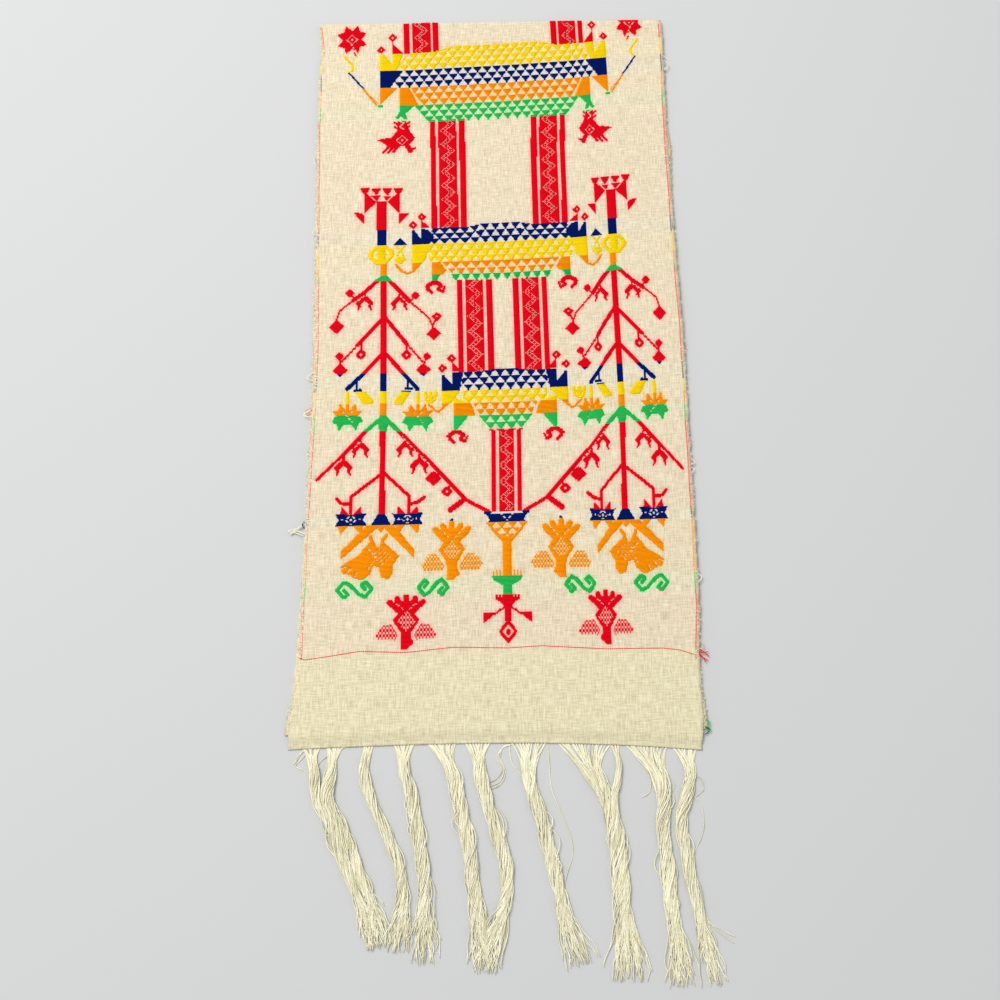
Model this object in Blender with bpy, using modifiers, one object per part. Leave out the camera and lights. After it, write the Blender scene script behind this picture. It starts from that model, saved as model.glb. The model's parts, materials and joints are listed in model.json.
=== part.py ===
"""A woven cotton table runner, folded in three and lying flat, with a long fringe at each end.

Metres, +Z up. The runner lies along Y: the end whose fringe shows is towards -Y, and the
clean fold is towards +Y. The origin is on the underside of the lowest layer.
"""

import math
from collections import namedtuple

import bmesh
import bpy
import numpy as np

# Cloth
CLOTH_THICKNESS = 0.0010
LAYER_GAP = 0.0006
PIECE_GAP = 0.0003
NEAR_EDGE_Y = -0.2793
NEAR_FOLD_Y = -0.2690
FAR_FOLD_Y = 0.4605
HIDDEN_END_Y = 0.2620
HALF_WIDTH = 0.178
FOLD_SKEW = 0.0084
NEAR_EDGE_BOW = 0.0058
NEAR_EDGE_BOW_TO_RIGHT = 0.0014
DESCENT_START_Y = -0.2670
DESCENT_LENGTH = 0.0115
FAR_FOLD_PUFF = 0.0008
PUFF_LENGTH = 0.025

# Long low waves of the two upper layers
MIDDLE_WAVE = 0.0003
TOP_WAVE = 0.0005
WAVE_PITCH_X = 0.21
WAVE_PITCH_Y = 0.34

# Mesh of the cloth
COLUMNS = 12
BOTTOM_ROWS = 12
FOLD_ROWS = 6
MIDDLE_ROWS = 20
TOP_ROWS = 26
DESCENT_ROWS = 6

# Heights of the three layers' middle surfaces
BOTTOM_Z = CLOTH_THICKNESS / 2
MIDDLE_Z = BOTTOM_Z + CLOTH_THICKNESS + LAYER_GAP
TOP_Z = MIDDLE_Z + CLOTH_THICKNESS + LAYER_GAP

# Where each layer's two side edges lie, from the far fold to the near end
Side = namedtuple("Side", "y left right")
TOP_SIDES = (
    Side(0.461, -0.1785, 0.1780),
    Side(0.430, -0.1745, 0.1790),
    Side(0.392, -0.1760, 0.1785),
    Side(0.333, -0.1765, 0.1780),
    Side(0.197, -0.1735, 0.1793),
    Side(0.064, -0.1710, 0.1820),
    Side(-0.060, -0.1715, 0.1815),
    Side(-0.155, -0.1710, 0.1810),
    Side(-0.206, -0.1715, 0.1793),
    Side(-0.252, -0.1758, 0.1810),
    Side(-0.280, -0.1780, 0.1785),
)
MIDDLE_SIDES = (
    Side(0.461, -0.1785, 0.1780),
    Side(0.420, -0.1730, 0.1780),
    Side(0.330, -0.1745, 0.1790),
    Side(0.307, -0.1740, 0.1818),
    Side(0.280, -0.1735, 0.1800),
    Side(0.197, -0.1720, 0.1780),
    Side(0.064, -0.1700, 0.1800),
    Side(-0.100, -0.1705, 0.1795),
    Side(-0.225, -0.1730, 0.1800),
    Side(-0.258, -0.1795, 0.1832),
    Side(-0.270, -0.1812, 0.1840),
)
BOTTOM_SIDES = (
    Side(0.262, -0.1725, 0.1765),
    Side(0.100, -0.1700, 0.1780),
    Side(-0.100, -0.1710, 0.1790),
    Side(-0.240, -0.1760, 0.1820),
    Side(-0.270, -0.1812, 0.1840),
)

# Fringe
STRIP_DEPTH = 0.0025
ROOT_FILL = 0.5
ROOT_WIDEST = 0.0016
LOCK_HEIGHT = 0.0010
LOCK_WIDEST = 0.0014
LOCK_FILL = 0.68
UPPER_LOCK_WIDTH = 0.0012
LOCK_END = 0.0006
UPPER_Z = 0.0014
GATHER_LENGTH = 0.045
SPREAD_START = 0.085
CLIMB_LENGTH = 0.014
UPPER_SHARE = 0.42
UPPER_REACH_ACROSS = 0.7
TWIST = 0.28
UNEVEN_ENDS = 0.004

# Distances from the cloth at which a bundle's middle is given, and a lock's own sections
DRIFT_AT = (0.020, 0.042, 0.062, 0.085, 0.105, 0.130, 0.155)
LOCK_SECTIONS = (CLIMB_LENGTH, 0.034, 0.056, 0.080, 0.104, 0.128)

# The bundles that the fringe has gathered into, from left to right. Drift is the X of a
# bundle's middle at DRIFT_AT, waist and spread its width at its narrowest and at its end.
Bundle = namedtuple("Bundle", "left right locks waist spread reach drift")
BUNDLES = (
    Bundle(-0.1660, -0.1290, 14, 0.016, 0.026, 0.162,
           (-0.1470, -0.1450, -0.1380, -0.1270, -0.1190, -0.1110, -0.1050)),
    Bundle(-0.1144, -0.1035, 8, 0.0095, 0.014, 0.165,
           (-0.1140, -0.1075, -0.0995, -0.0875, -0.0785, -0.0755, -0.0770)),
    Bundle(-0.0880, -0.0664, 11, 0.011, 0.018, 0.170,
           (-0.0745, -0.0717, -0.0660, -0.0625, -0.0600, -0.0570, -0.0550)),
    Bundle(-0.0552, -0.0303, 12, 0.012, 0.018, 0.179,
           (-0.0365, -0.0338, -0.0275, -0.0230, -0.0208, -0.0190, -0.0180)),
    Bundle(-0.0226, -0.0020, 11, 0.011, 0.016, 0.177,
           (-0.0134, -0.0060, 0.0005, 0.0073, 0.0122, 0.0115, 0.0070)),
    Bundle(0.0134, 0.0468, 13, 0.012, 0.019, 0.174,
           (0.0278, 0.0305, 0.0390, 0.0445, 0.0485, 0.0535, 0.0615)),
    Bundle(0.0482, 0.0502, 1, 0.001, 0.001, 0.135,
           (0.0480, 0.0500, 0.0585, 0.0655, 0.0645, 0.0695, 0.0750)),
    Bundle(0.0520, 0.1086, 16, 0.015, 0.025, 0.181,
           (0.0855, 0.0935, 0.0990, 0.1020, 0.1042, 0.1062, 0.1064)),
    Bundle(0.1110, 0.1497, 14, 0.012, 0.021, 0.182,
           (0.1335, 0.1410, 0.1430, 0.1415, 0.1430, 0.1470, 0.1495)),
    Bundle(0.1525, 0.1755, 11, 0.011, 0.015, 0.181,
           (0.1685, 0.1625, 0.1575, 0.1570, 0.1605, 0.1660, 0.1720)),
    Bundle(0.1766, 0.1780, 1, 0.001, 0.001, 0.158,
           (0.1780, 0.1720, 0.1665, 0.1655, 0.1690, 0.1790, 0.1990)),
)

# The fringe at the other end lies hidden under the middle layer, in even bundles
HIDDEN_BUNDLES = 9
HIDDEN_LOCKS = 3
HIDDEN_ROOT_SHARE = 0.6
HIDDEN_WAIST = 0.0055
HIDDEN_SPREAD = 0.0120
HIDDEN_REACH = 0.168
HIDDEN_SWAY = 0.004
HIDDEN_SWAY_STEP = 1.9

CREAM_CLOTH = (0.84, 0.74, 0.52, 1.0)
CREAM_YARN = (0.88, 0.80, 0.60, 1.0)


def smoothstep(value):
    """Ease from 0 to 1 as the value does."""
    t = min(max(value, 0.0), 1.0)
    return t * t * (3 - 2 * t)


def mix(start, end, share):
    return start + (end - start) * share


def near_edge_y(x):
    """The cloth's near edge, whose corners lie a little nearer than its middle."""
    across = x / HALF_WIDTH
    return NEAR_EDGE_Y - (NEAR_EDGE_BOW + NEAR_EDGE_BOW_TO_RIGHT * across) * across * across


def side_edges(sides, y):
    """The left and right edges of a layer at one place along it."""
    rows = sorted(sides)
    places = [row.y for row in rows]
    left = np.interp(y, places, [row.left for row in rows])
    right = np.interp(y, places, [row.right for row in rows])
    return left, right


def wave(x, y, height):
    """A long low wave that dies out at both folds."""
    along = (y - NEAR_FOLD_Y) / (FAR_FOLD_Y - NEAR_FOLD_Y)
    window = math.sin(math.pi * min(max(along, 0.0), 1.0))
    turn = 2 * math.pi * (x / WAVE_PITCH_X + y / WAVE_PITCH_Y)
    return height * window * (0.5 + 0.5 * math.sin(turn))


# One row of the folded section: its layer's sides, its place, how far it follows the
# folds' skew and the near edge's bow, and the height of its wave
Row = namedtuple("Row", "sides y z skew bow wave")


def bottom_rows():
    rows = []
    for i in range(BOTTOM_ROWS):
        share = i / (BOTTOM_ROWS - 1)
        y = mix(HIDDEN_END_Y, NEAR_FOLD_Y, share)
        rows.append(Row(BOTTOM_SIDES, y, BOTTOM_Z, share, 0.0, 0.0))
    return rows


def fold_rows(sides, fold_y, low_z, high_z, outward):
    """The half ring between two layers, from the lower one to the upper one."""
    radius = (high_z - low_z) / 2
    rows = []
    for i in range(1, FOLD_ROWS):
        angle = math.pi * (i / FOLD_ROWS - 0.5)
        y = fold_y + outward * radius * math.cos(angle)
        z = low_z + radius * (1 + math.sin(angle))
        rows.append(Row(sides, y, z, 1.0, 0.0, 0.0))
    return rows


def middle_rows():
    rows = []
    for i in range(MIDDLE_ROWS):
        y = mix(NEAR_FOLD_Y, FAR_FOLD_Y, i / (MIDDLE_ROWS - 1))
        rows.append(Row(MIDDLE_SIDES, y, MIDDLE_Z, 1.0, 0.0, MIDDLE_WAVE))
    return rows


def top_rows():
    """The upper layer, which runs down over the near fold to the surface at its end."""
    flat = np.linspace(FAR_FOLD_Y, DESCENT_START_Y, TOP_ROWS, endpoint=False)
    down = np.linspace(DESCENT_START_Y, NEAR_EDGE_Y, DESCENT_ROWS + 1)
    rows = []
    for y in [*flat, *down]:
        along = (FAR_FOLD_Y - y) / (FAR_FOLD_Y - NEAR_EDGE_Y)
        puff = FAR_FOLD_PUFF * smoothstep(1 - (FAR_FOLD_Y - y) / PUFF_LENGTH)
        descent = smoothstep((DESCENT_START_Y - y) / DESCENT_LENGTH)
        z = mix(TOP_Z + puff, BOTTOM_Z, descent)
        rows.append(Row(TOP_SIDES, y, z, 1 - along, along**3, MIDDLE_WAVE + TOP_WAVE))
    return rows


def cloth_rows():
    """The whole back-and-forth section, from the hidden end to the end that shows."""
    near_fold = fold_rows(BOTTOM_SIDES, NEAR_FOLD_Y, BOTTOM_Z, MIDDLE_Z, -1)
    far_fold = fold_rows(TOP_SIDES, FAR_FOLD_Y, MIDDLE_Z, TOP_Z + FAR_FOLD_PUFF, 1)
    return bottom_rows() + near_fold + middle_rows() + far_fold + top_rows()


def cloth_point(row, share):
    """A point of the cloth's middle surface, at a share of the way from left to right."""
    left, right = side_edges(row.sides, row.y)
    x = mix(left, right, share)
    bow = near_edge_y(x) - NEAR_EDGE_Y
    y = row.y + row.skew * FOLD_SKEW * x + row.bow * bow
    return x, y, row.z + wave(x, row.y, row.wave)


def grid_mesh(columns, rows, place):
    """A grid whose point in each column and row goes where place(column, row) says."""
    mesh = bmesh.new()
    bmesh.ops.create_grid(mesh, x_segments=columns, y_segments=rows, size=0.5)
    for vert in mesh.verts:
        column = round((vert.co.x + 0.5) * columns)
        row = round((vert.co.y + 0.5) * rows)
        vert.co = place(column, row)
    return mesh


def new_object(name, mesh, collection, material):
    data = bpy.data.meshes.new(name)
    mesh.to_mesh(data)
    mesh.free()
    data.materials.append(material)
    data.shade_smooth()
    data.set_sharp_from_angle(angle=math.radians(50))
    piece = bpy.data.objects.new(name, data)
    collection.objects.link(piece)
    return piece


def new_material(name, color, roughness):
    material = bpy.data.materials.new(name)
    material.use_nodes = True
    shader = material.node_tree.nodes["Principled BSDF"]
    shader.inputs["Base Color"].default_value = color
    shader.inputs["Roughness"].default_value = roughness
    shader.inputs["Metallic"].default_value = 0.0
    return material


def build_cloth(collection):
    rows = cloth_rows()
    mesh = grid_mesh(
        COLUMNS,
        len(rows) - 1,
        lambda column, row: cloth_point(rows[row], column / COLUMNS),
    )
    material = new_material("cotton_cloth", CREAM_CLOTH, 0.9)
    cloth = new_object("cloth", mesh, collection, material)
    solid = cloth.modifiers.new("thickness", "SOLIDIFY")
    solid.thickness = CLOTH_THICKNESS
    solid.offset = 0.0
    return cloth


def drift_x(bundle, distance):
    """The X of a bundle's middle at a distance from the cloth, on a smooth curve."""
    places = (0.0, *DRIFT_AT)
    values = ((bundle.left + bundle.right) / 2, *bundle.drift)
    slopes = np.gradient(values, places)
    i = int(np.searchsorted(places, distance)) - 1
    i = min(max(i, 0), len(places) - 2)
    step = places[i + 1] - places[i]
    t = (distance - places[i]) / step
    if t > 1:
        return values[-1] + slopes[-1] * (distance - places[-1])
    start = values[i] * (1 + 2 * t) + slopes[i] * step * t
    end = values[i + 1] * (3 - 2 * t) - slopes[i + 1] * step * (1 - t)
    return start * (1 - t) ** 2 + end * t**2


def half_width(bundle, distance):
    """Half of a bundle's width: wide at the cloth, then gathered, then splayed."""
    root = (bundle.right - bundle.left) / 2
    gathered = mix(root, bundle.waist / 2, smoothstep(distance / GATHER_LENGTH))
    splay = smoothstep((distance - SPREAD_START) / (bundle.reach - SPREAD_START))
    return mix(gathered, bundle.spread / 2, splay)


def even(index, count):
    """The place of one of several slots, from -1 at the left to 1 at the right."""
    return (index + 0.5) / count * 2 - 1


def shared_slots(upper, count):
    """Which slots the upper locks take: every other one, from the left."""
    above = set(range(0, 2 * upper, 2))
    below = [slot for slot in range(count) if slot not in above]
    return sorted(above), below


def lock_section(bundle, lock, upper, distance, length):
    """Where one lock of a bundle is across its width, and the height of its underside."""
    above, below = shared_slots(upper, bundle.locks)
    is_upper = lock in above
    layer = above if is_upper else below
    rank = layer.index(lock)
    start = even(lock, bundle.locks)
    middle = even(rank, len(layer))
    end_slots = [bundle.locks - 1 - slot for slot in layer][::-1]
    end = even(end_slots[rank], bundle.locks)
    if is_upper:
        turn = mix(-TWIST, TWIST, distance / length)
        middle = middle * UPPER_REACH_ACROSS + turn
    gather = smoothstep((distance - CLIMB_LENGTH) / (GATHER_LENGTH - CLIMB_LENGTH))
    splay_length = 0.4 * length
    splay_start = length - CLIMB_LENGTH - splay_length
    splay = smoothstep((distance - splay_start) / splay_length)
    across = mix(mix(start, middle, gather), end, splay)
    at_end = distance > length - CLIMB_LENGTH / 2
    low = UPPER_Z if is_upper and distance > 0 and not at_end else 0.0
    return across, low


# One section of a lock: its middle, the direction across it, underside, width and height
Section = namedtuple("Section", "x y across low width height")


def lock_sections(bundle, lock, edge_y, direction):
    upper = int(bundle.locks * UPPER_SHARE) if direction < 0 else 0
    uneven = UNEVEN_ENDS * math.sin(2.7 * lock + 40 * bundle.left)
    length = bundle.reach + uneven
    lower_count = bundle.locks - upper
    width = min(LOCK_WIDEST, LOCK_FILL * bundle.waist / lower_count)
    above, _ = shared_slots(upper, bundle.locks)
    if lock in above:
        width = UPPER_LOCK_WIDTH
    distances = [d for d in LOCK_SECTIONS if d < length - 2 * CLIMB_LENGTH]
    distances += [length - CLIMB_LENGTH, length]
    sections = []
    for distance in distances:
        across, low = lock_section(bundle, lock, upper, distance, length)
        step = 0.002
        ahead = drift_x(bundle, distance + step)
        behind = drift_x(bundle, distance - step)
        lean = (ahead - behind) / (2 * step)
        size = math.hypot(1.0, lean)
        side_x, side_y = 1.0 / size, -direction * lean / size
        offset = across * half_width(bundle, distance)
        x = drift_x(bundle, distance) + side_x * offset
        y = edge_y(x) + direction * (STRIP_DEPTH + distance) + side_y * offset
        is_last = distance == length
        wide = LOCK_END if is_last else width
        high = LOCK_END if is_last else LOCK_HEIGHT
        sections.append(Section(x, y, (side_x, side_y), low, wide, high))
    return sections


def grow_lock(mesh, face, sections):
    """Extrude one face of the strip's wall along its lock."""
    middle = face.calc_center_median()
    across = (1.0, 0.0)
    for section in sections:
        face = bmesh.ops.extrude_discrete_faces(mesh, faces=[face])["faces"][0]
        side_x, side_y = section.across
        new_middle = (section.x, section.y, section.low + section.height / 2)
        for vert in face.verts:
            out = vert.co - middle
            side = math.copysign(section.width / 2, out.x * across[0] + out.y * across[1])
            rise = math.copysign(section.height / 2, out.z)
            vert.co.x = new_middle[0] + side_x * side
            vert.co.y = new_middle[1] + side_y * side
            vert.co.z = new_middle[2] + rise
        middle = face.calc_center_median()
        across = section.across


def root_slots(bundles):
    """The left and right ends of each lock's root, and whose root it is."""
    slots = []
    for bundle in bundles:
        pitch = (bundle.right - bundle.left) / bundle.locks
        half = min(ROOT_FILL * pitch, ROOT_WIDEST) / 2
        for lock in range(bundle.locks):
            middle = bundle.left + (lock + 0.5) * pitch
            slots.append((middle - half, middle + half, bundle, lock))
    return slots


def build_fringe(name, collection, bundles, ends, edge_y, direction):
    """A narrow strip parted from the cloth's edge, and the locks that grow from it."""
    slots = root_slots(bundles)
    walls = [ends[0]]
    for left, right, _, _ in slots:
        walls += [left, right]
    walls.append(ends[1])

    def strip_point(column, row):
        x = walls[column]
        depth = PIECE_GAP if row else STRIP_DEPTH
        return x, edge_y(x) + direction * depth, 0.0

    mesh = grid_mesh(len(walls) - 1, 1, strip_point)
    extruded = bmesh.ops.extrude_face_region(mesh, geom=mesh.faces[:])["geom"]
    for vert in (item for item in extruded if isinstance(item, bmesh.types.BMVert)):
        vert.co.z = CLOTH_THICKNESS
    bmesh.ops.recalc_face_normals(mesh, faces=mesh.faces[:])
    wall = [face for face in mesh.faces if face.normal.y * direction > 0.9]
    wall.sort(key=lambda face: face.calc_center_median().x)
    for face, (_, _, bundle, lock) in zip(wall[1::2], slots):
        grow_lock(mesh, face, lock_sections(bundle, lock, edge_y, direction))
    bmesh.ops.recalc_face_normals(mesh, faces=mesh.faces[:])
    material = new_material(name + "_yarn", CREAM_YARN, 0.9)
    return new_object(name, mesh, collection, material)


def hidden_bundles(left, right):
    pitch = (right - left) / HIDDEN_BUNDLES
    half_root = HIDDEN_ROOT_SHARE * pitch / 2
    bundles = []
    for i in range(HIDDEN_BUNDLES):
        middle = left + (i + 0.5) * pitch
        sway = HIDDEN_SWAY * math.sin(HIDDEN_SWAY_STEP * i)
        drift = tuple(middle + sway * math.sin(18 * distance) for distance in DRIFT_AT)
        bundles.append(
            Bundle(middle - half_root, middle + half_root, HIDDEN_LOCKS, HIDDEN_WAIST,
                   HIDDEN_SPREAD, HIDDEN_REACH, drift)
        )
    return bundles


def clear_scene():
    for item in list(bpy.data.objects):
        bpy.data.objects.remove(item, do_unlink=True)


def main():
    clear_scene()
    collection = bpy.data.collections.new("woven_table_runner")
    bpy.context.scene.collection.children.link(collection)
    build_cloth(collection)

    near_ends = (TOP_SIDES[-1].left, TOP_SIDES[-1].right)
    build_fringe("fringe_near", collection, BUNDLES, near_ends, near_edge_y, -1)

    hidden_ends = (BOTTOM_SIDES[0].left, BOTTOM_SIDES[0].right)
    build_fringe(
        "fringe_hidden",
        collection,
        hidden_bundles(*hidden_ends),
        hidden_ends,
        lambda x: HIDDEN_END_Y,
        1,
    )


main()
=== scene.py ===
"""The looks of a brocaded cotton table runner, folded in three and lying flat.

It is laid out as an add-on and runs as a script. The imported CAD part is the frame. Lengths are
metres in the code, and millimetres in the weaver's chart. +Y runs along the runner, from the end
whose fringe shows to the clean fold.
"""

import json
import math
from collections import namedtuple

import bpy
import numpy as np
from mathutils import Vector
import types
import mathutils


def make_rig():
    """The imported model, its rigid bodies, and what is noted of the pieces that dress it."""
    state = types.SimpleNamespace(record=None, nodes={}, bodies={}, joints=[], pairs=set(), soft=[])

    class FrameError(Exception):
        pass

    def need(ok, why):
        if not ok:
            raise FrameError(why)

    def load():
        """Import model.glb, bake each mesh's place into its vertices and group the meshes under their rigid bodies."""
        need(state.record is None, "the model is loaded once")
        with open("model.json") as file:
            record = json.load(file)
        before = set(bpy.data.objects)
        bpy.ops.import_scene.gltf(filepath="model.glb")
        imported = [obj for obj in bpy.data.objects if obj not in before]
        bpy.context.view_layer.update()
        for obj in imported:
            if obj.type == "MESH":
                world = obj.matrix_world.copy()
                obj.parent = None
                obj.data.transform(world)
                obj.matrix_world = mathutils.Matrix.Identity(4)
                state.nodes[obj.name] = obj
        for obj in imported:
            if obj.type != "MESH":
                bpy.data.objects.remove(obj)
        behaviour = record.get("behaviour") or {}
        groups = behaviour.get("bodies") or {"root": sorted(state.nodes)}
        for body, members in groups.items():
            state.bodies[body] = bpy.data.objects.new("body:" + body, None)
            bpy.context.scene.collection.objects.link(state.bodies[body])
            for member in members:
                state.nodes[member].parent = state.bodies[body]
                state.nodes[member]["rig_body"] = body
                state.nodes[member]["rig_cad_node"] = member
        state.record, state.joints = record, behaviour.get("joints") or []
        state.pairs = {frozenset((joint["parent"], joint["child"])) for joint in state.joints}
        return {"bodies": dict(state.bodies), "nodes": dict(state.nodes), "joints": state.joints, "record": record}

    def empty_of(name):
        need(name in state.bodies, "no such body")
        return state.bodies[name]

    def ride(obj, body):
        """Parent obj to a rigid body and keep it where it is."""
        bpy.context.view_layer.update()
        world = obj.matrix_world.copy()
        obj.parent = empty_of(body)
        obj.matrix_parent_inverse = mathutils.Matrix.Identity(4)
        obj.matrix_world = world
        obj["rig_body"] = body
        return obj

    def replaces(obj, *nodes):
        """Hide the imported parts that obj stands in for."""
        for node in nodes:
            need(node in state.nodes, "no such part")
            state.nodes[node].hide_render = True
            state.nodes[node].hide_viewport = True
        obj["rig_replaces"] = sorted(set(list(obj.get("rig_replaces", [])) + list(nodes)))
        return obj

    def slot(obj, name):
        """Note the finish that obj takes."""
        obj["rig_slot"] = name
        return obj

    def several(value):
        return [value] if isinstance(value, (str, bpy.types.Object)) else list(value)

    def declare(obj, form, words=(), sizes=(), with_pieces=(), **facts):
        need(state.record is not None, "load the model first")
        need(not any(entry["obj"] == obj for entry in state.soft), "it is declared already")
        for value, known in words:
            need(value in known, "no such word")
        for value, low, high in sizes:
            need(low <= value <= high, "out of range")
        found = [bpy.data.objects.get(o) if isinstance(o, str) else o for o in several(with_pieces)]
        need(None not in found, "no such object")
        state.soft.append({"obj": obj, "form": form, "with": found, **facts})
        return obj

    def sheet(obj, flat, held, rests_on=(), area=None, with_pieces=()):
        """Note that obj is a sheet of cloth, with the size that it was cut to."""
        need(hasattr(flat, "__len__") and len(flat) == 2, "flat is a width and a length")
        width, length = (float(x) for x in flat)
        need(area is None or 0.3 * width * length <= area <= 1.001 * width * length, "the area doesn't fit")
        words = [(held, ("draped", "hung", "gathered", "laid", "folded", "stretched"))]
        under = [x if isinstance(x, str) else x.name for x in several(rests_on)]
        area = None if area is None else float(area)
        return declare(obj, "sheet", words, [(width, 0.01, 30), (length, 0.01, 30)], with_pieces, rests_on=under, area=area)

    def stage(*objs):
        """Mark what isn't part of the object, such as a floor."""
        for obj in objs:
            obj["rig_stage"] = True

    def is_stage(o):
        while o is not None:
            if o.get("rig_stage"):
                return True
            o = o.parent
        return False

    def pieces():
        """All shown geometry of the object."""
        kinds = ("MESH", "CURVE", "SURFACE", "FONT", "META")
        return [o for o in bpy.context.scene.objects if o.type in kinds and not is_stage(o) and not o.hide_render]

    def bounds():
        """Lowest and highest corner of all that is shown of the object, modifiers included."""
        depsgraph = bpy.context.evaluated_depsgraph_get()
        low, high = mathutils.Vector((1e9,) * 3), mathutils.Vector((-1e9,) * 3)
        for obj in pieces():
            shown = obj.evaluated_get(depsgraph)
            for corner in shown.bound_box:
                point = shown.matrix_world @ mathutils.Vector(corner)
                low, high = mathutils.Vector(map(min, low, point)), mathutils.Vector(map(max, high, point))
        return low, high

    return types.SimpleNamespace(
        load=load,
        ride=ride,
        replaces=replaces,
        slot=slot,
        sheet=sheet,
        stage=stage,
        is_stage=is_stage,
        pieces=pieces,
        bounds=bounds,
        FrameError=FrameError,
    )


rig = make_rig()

bl_info = {
    "name": "Woven table runner",
    "version": (1, 0, 0),
    "blender": (4, 2, 0),
    "location": "3D View > Sidebar > Runner",
    "description": "Builds a folded, brocaded and fringed table runner piece by piece",
    "category": "Object",
}

MM = 0.001
SIZE_FILE = "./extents.json"

# Cloth: the sizes of the CAD part
CLOTH_THICKNESS = 0.0010
LAYER_GAP = 0.0006
NEAR_EDGE_Y = -0.2793
NEAR_FOLD_Y = -0.2690
FAR_FOLD_Y = 0.4605
HIDDEN_END_Y = 0.2620
HALF_WIDTH = 0.178
FOLD_SKEW = 0.0084
NEAR_EDGE_BOW = 0.0058
NEAR_EDGE_BOW_TO_RIGHT = 0.0014
DESCENT_START_Y = -0.2670
DESCENT_LENGTH = 0.0115
FAR_FOLD_PUFF = 0.0008
PUFF_LENGTH = 0.025
MIDDLE_WAVE = 0.0003
TOP_WAVE = 0.0005
WAVE_PITCH_X = 0.21
WAVE_PITCH_Y = 0.34
BOTTOM_Z = CLOTH_THICKNESS / 2
MIDDLE_Z = BOTTOM_Z + CLOTH_THICKNESS + LAYER_GAP
TOP_Z = MIDDLE_Z + CLOTH_THICKNESS + LAYER_GAP
FAR_FOLD_RADIUS = (TOP_Z + FAR_FOLD_PUFF - MIDDLE_Z) / 2

# Where each layer's two side edges lie, from the far fold to the near end
Side = namedtuple("Side", "y left right")
TOP_SIDES = (
    Side(0.461, -0.1785, 0.1780),
    Side(0.430, -0.1745, 0.1790),
    Side(0.392, -0.1760, 0.1785),
    Side(0.333, -0.1753, 0.1780),
    Side(0.197, -0.1716, 0.1800),
    Side(0.110, -0.1684, 0.1824),
    Side(0.064, -0.1680, 0.1829),
    Side(-0.010, -0.1688, 0.1830),
    Side(-0.060, -0.1702, 0.1835),
    Side(-0.155, -0.1712, 0.1832),
    Side(-0.206, -0.1717, 0.1800),
    Side(-0.252, -0.1758, 0.1810),
    Side(-0.280, -0.1780, 0.1785),
)
MIDDLE_SIDES = (
    Side(0.461, -0.1785, 0.1780),
    Side(0.420, -0.1730, 0.1780),
    Side(0.330, -0.1745, 0.1790),
    Side(0.307, -0.1740, 0.1818),
    Side(0.280, -0.1742, 0.1800),
    Side(0.197, -0.1728, 0.1780),
    Side(0.064, -0.1704, 0.1800),
    Side(-0.100, -0.1705, 0.1795),
    Side(-0.225, -0.1730, 0.1800),
    Side(-0.258, -0.1800, 0.1845),
    Side(-0.270, -0.1815, 0.1850),
)
BOTTOM_SIDES = (
    Side(0.262, -0.1725, 0.1765),
    Side(0.100, -0.1700, 0.1780),
    Side(-0.100, -0.1710, 0.1790),
    Side(-0.240, -0.1760, 0.1820),
    Side(-0.270, -0.1812, 0.1840),
)

# Cloth as it shows
SHEET_THICKNESS = 0.00085
COLUMNS = 132
BOTTOM_ROWS = 26
MIDDLE_ROWS = 36
TOP_ROWS = 262
DESCENT_ROWS = 9
FOLD_ROWS = 8
FLAT_SIZE = (0.36, 2.03)
NEAR_EDGE_LIFT = 0.0005
NEAR_LIFT_LENGTH = 0.030
EDGE_UNEVEN = 0.0005
EDGE_WAVES = ((0.6, 410, 1), (0.5, 905, 2.1), (0.4, 155, 0.7))
EDGE_SEEDS = (1.0, 4.0)
EDGE_SEED_PER_HEIGHT = 4000
TURN_FADE = 0.1

# Soft troughs (below zero) and ridges (above) across the upper layer: where each crosses the
# middle, how far it runs askew, its width and its height
Crease = namedtuple("Crease", "y slope width height")
CREASES = (
    Crease(0.372, 0.045, 0.0045, -0.00030),
    Crease(0.381, 0.045, 0.0080, 0.00022),
    Crease(0.232, 0.030, 0.0060, -0.00022),
    Crease(0.020, -0.020, 0.0120, 0.00020),
    Crease(-0.238, 0.012, 0.0090, 0.00008),
)
CREASE_LEAST = 0.65
CREASE_UNEVEN = 0.35
FLUTTER = 0.00010
FLUTTER_WAVES = ((61, 23, 0), (37, -54, 1.3))

# The design's rows run a little askew, and its middle line leans
ROW_SLOPE = 0.033
ROW_SLOPE_GAIN = 0.078
AXIS = (0.0110, -0.012, -0.022)

# Weaver's chart, in millimetres: across from the design's middle line and along the runner
CELL = 1.15
CELL_ACROSS = 1.0
CHART_LOW = -203.35
CHART_ROWS = 583
CHART_COLUMNS = 181
LATTICE_PITCH = 10
LATTICE_FILL = 0.88
RANK = 6.9
LADDER_PERIOD = 14
LADDER_SWING = 8.4
LADDER_START = 7
MIDDLE_COLUMN = (-69.5, 8.6)
MIDDLE_TOP = 9.8
MIDDLE_STRIPE_HALF = 6.2
ZIGZAG_LINE_AWAY = 2.4
ZIGZAG_LINE_HALF = 0.55
TRIANGLE_TOP = 1.08
LEAST_HEIGHT = 1e-9
DISC_ROUNDNESS = 1.35
THREAD_THIN = 0.6

# How far the true middle of the design wanders from that line: along, across
WANDER_AT = (-203, -115, -75, -30, 30, 60, 180, 210, 280, 320, 360, 400, 465)
WANDER = (0.5, 0.4, 1.0, 1.5, 2.2, 2.2, 1.9, 1.7, 2.25, 2.75, 3.7, 4.2, 4.0)
# The right half is beaten closer: distances from the middle on the left, and on the right
LEFT_REACH = (0, 50, 77, 90, 100.4, 114.5, 148, 174, 190)
RIGHT_REACH = (0, 48.5, 75.5, 86.8, 94.8, 107.8, 139.2, 162, 172)
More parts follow.
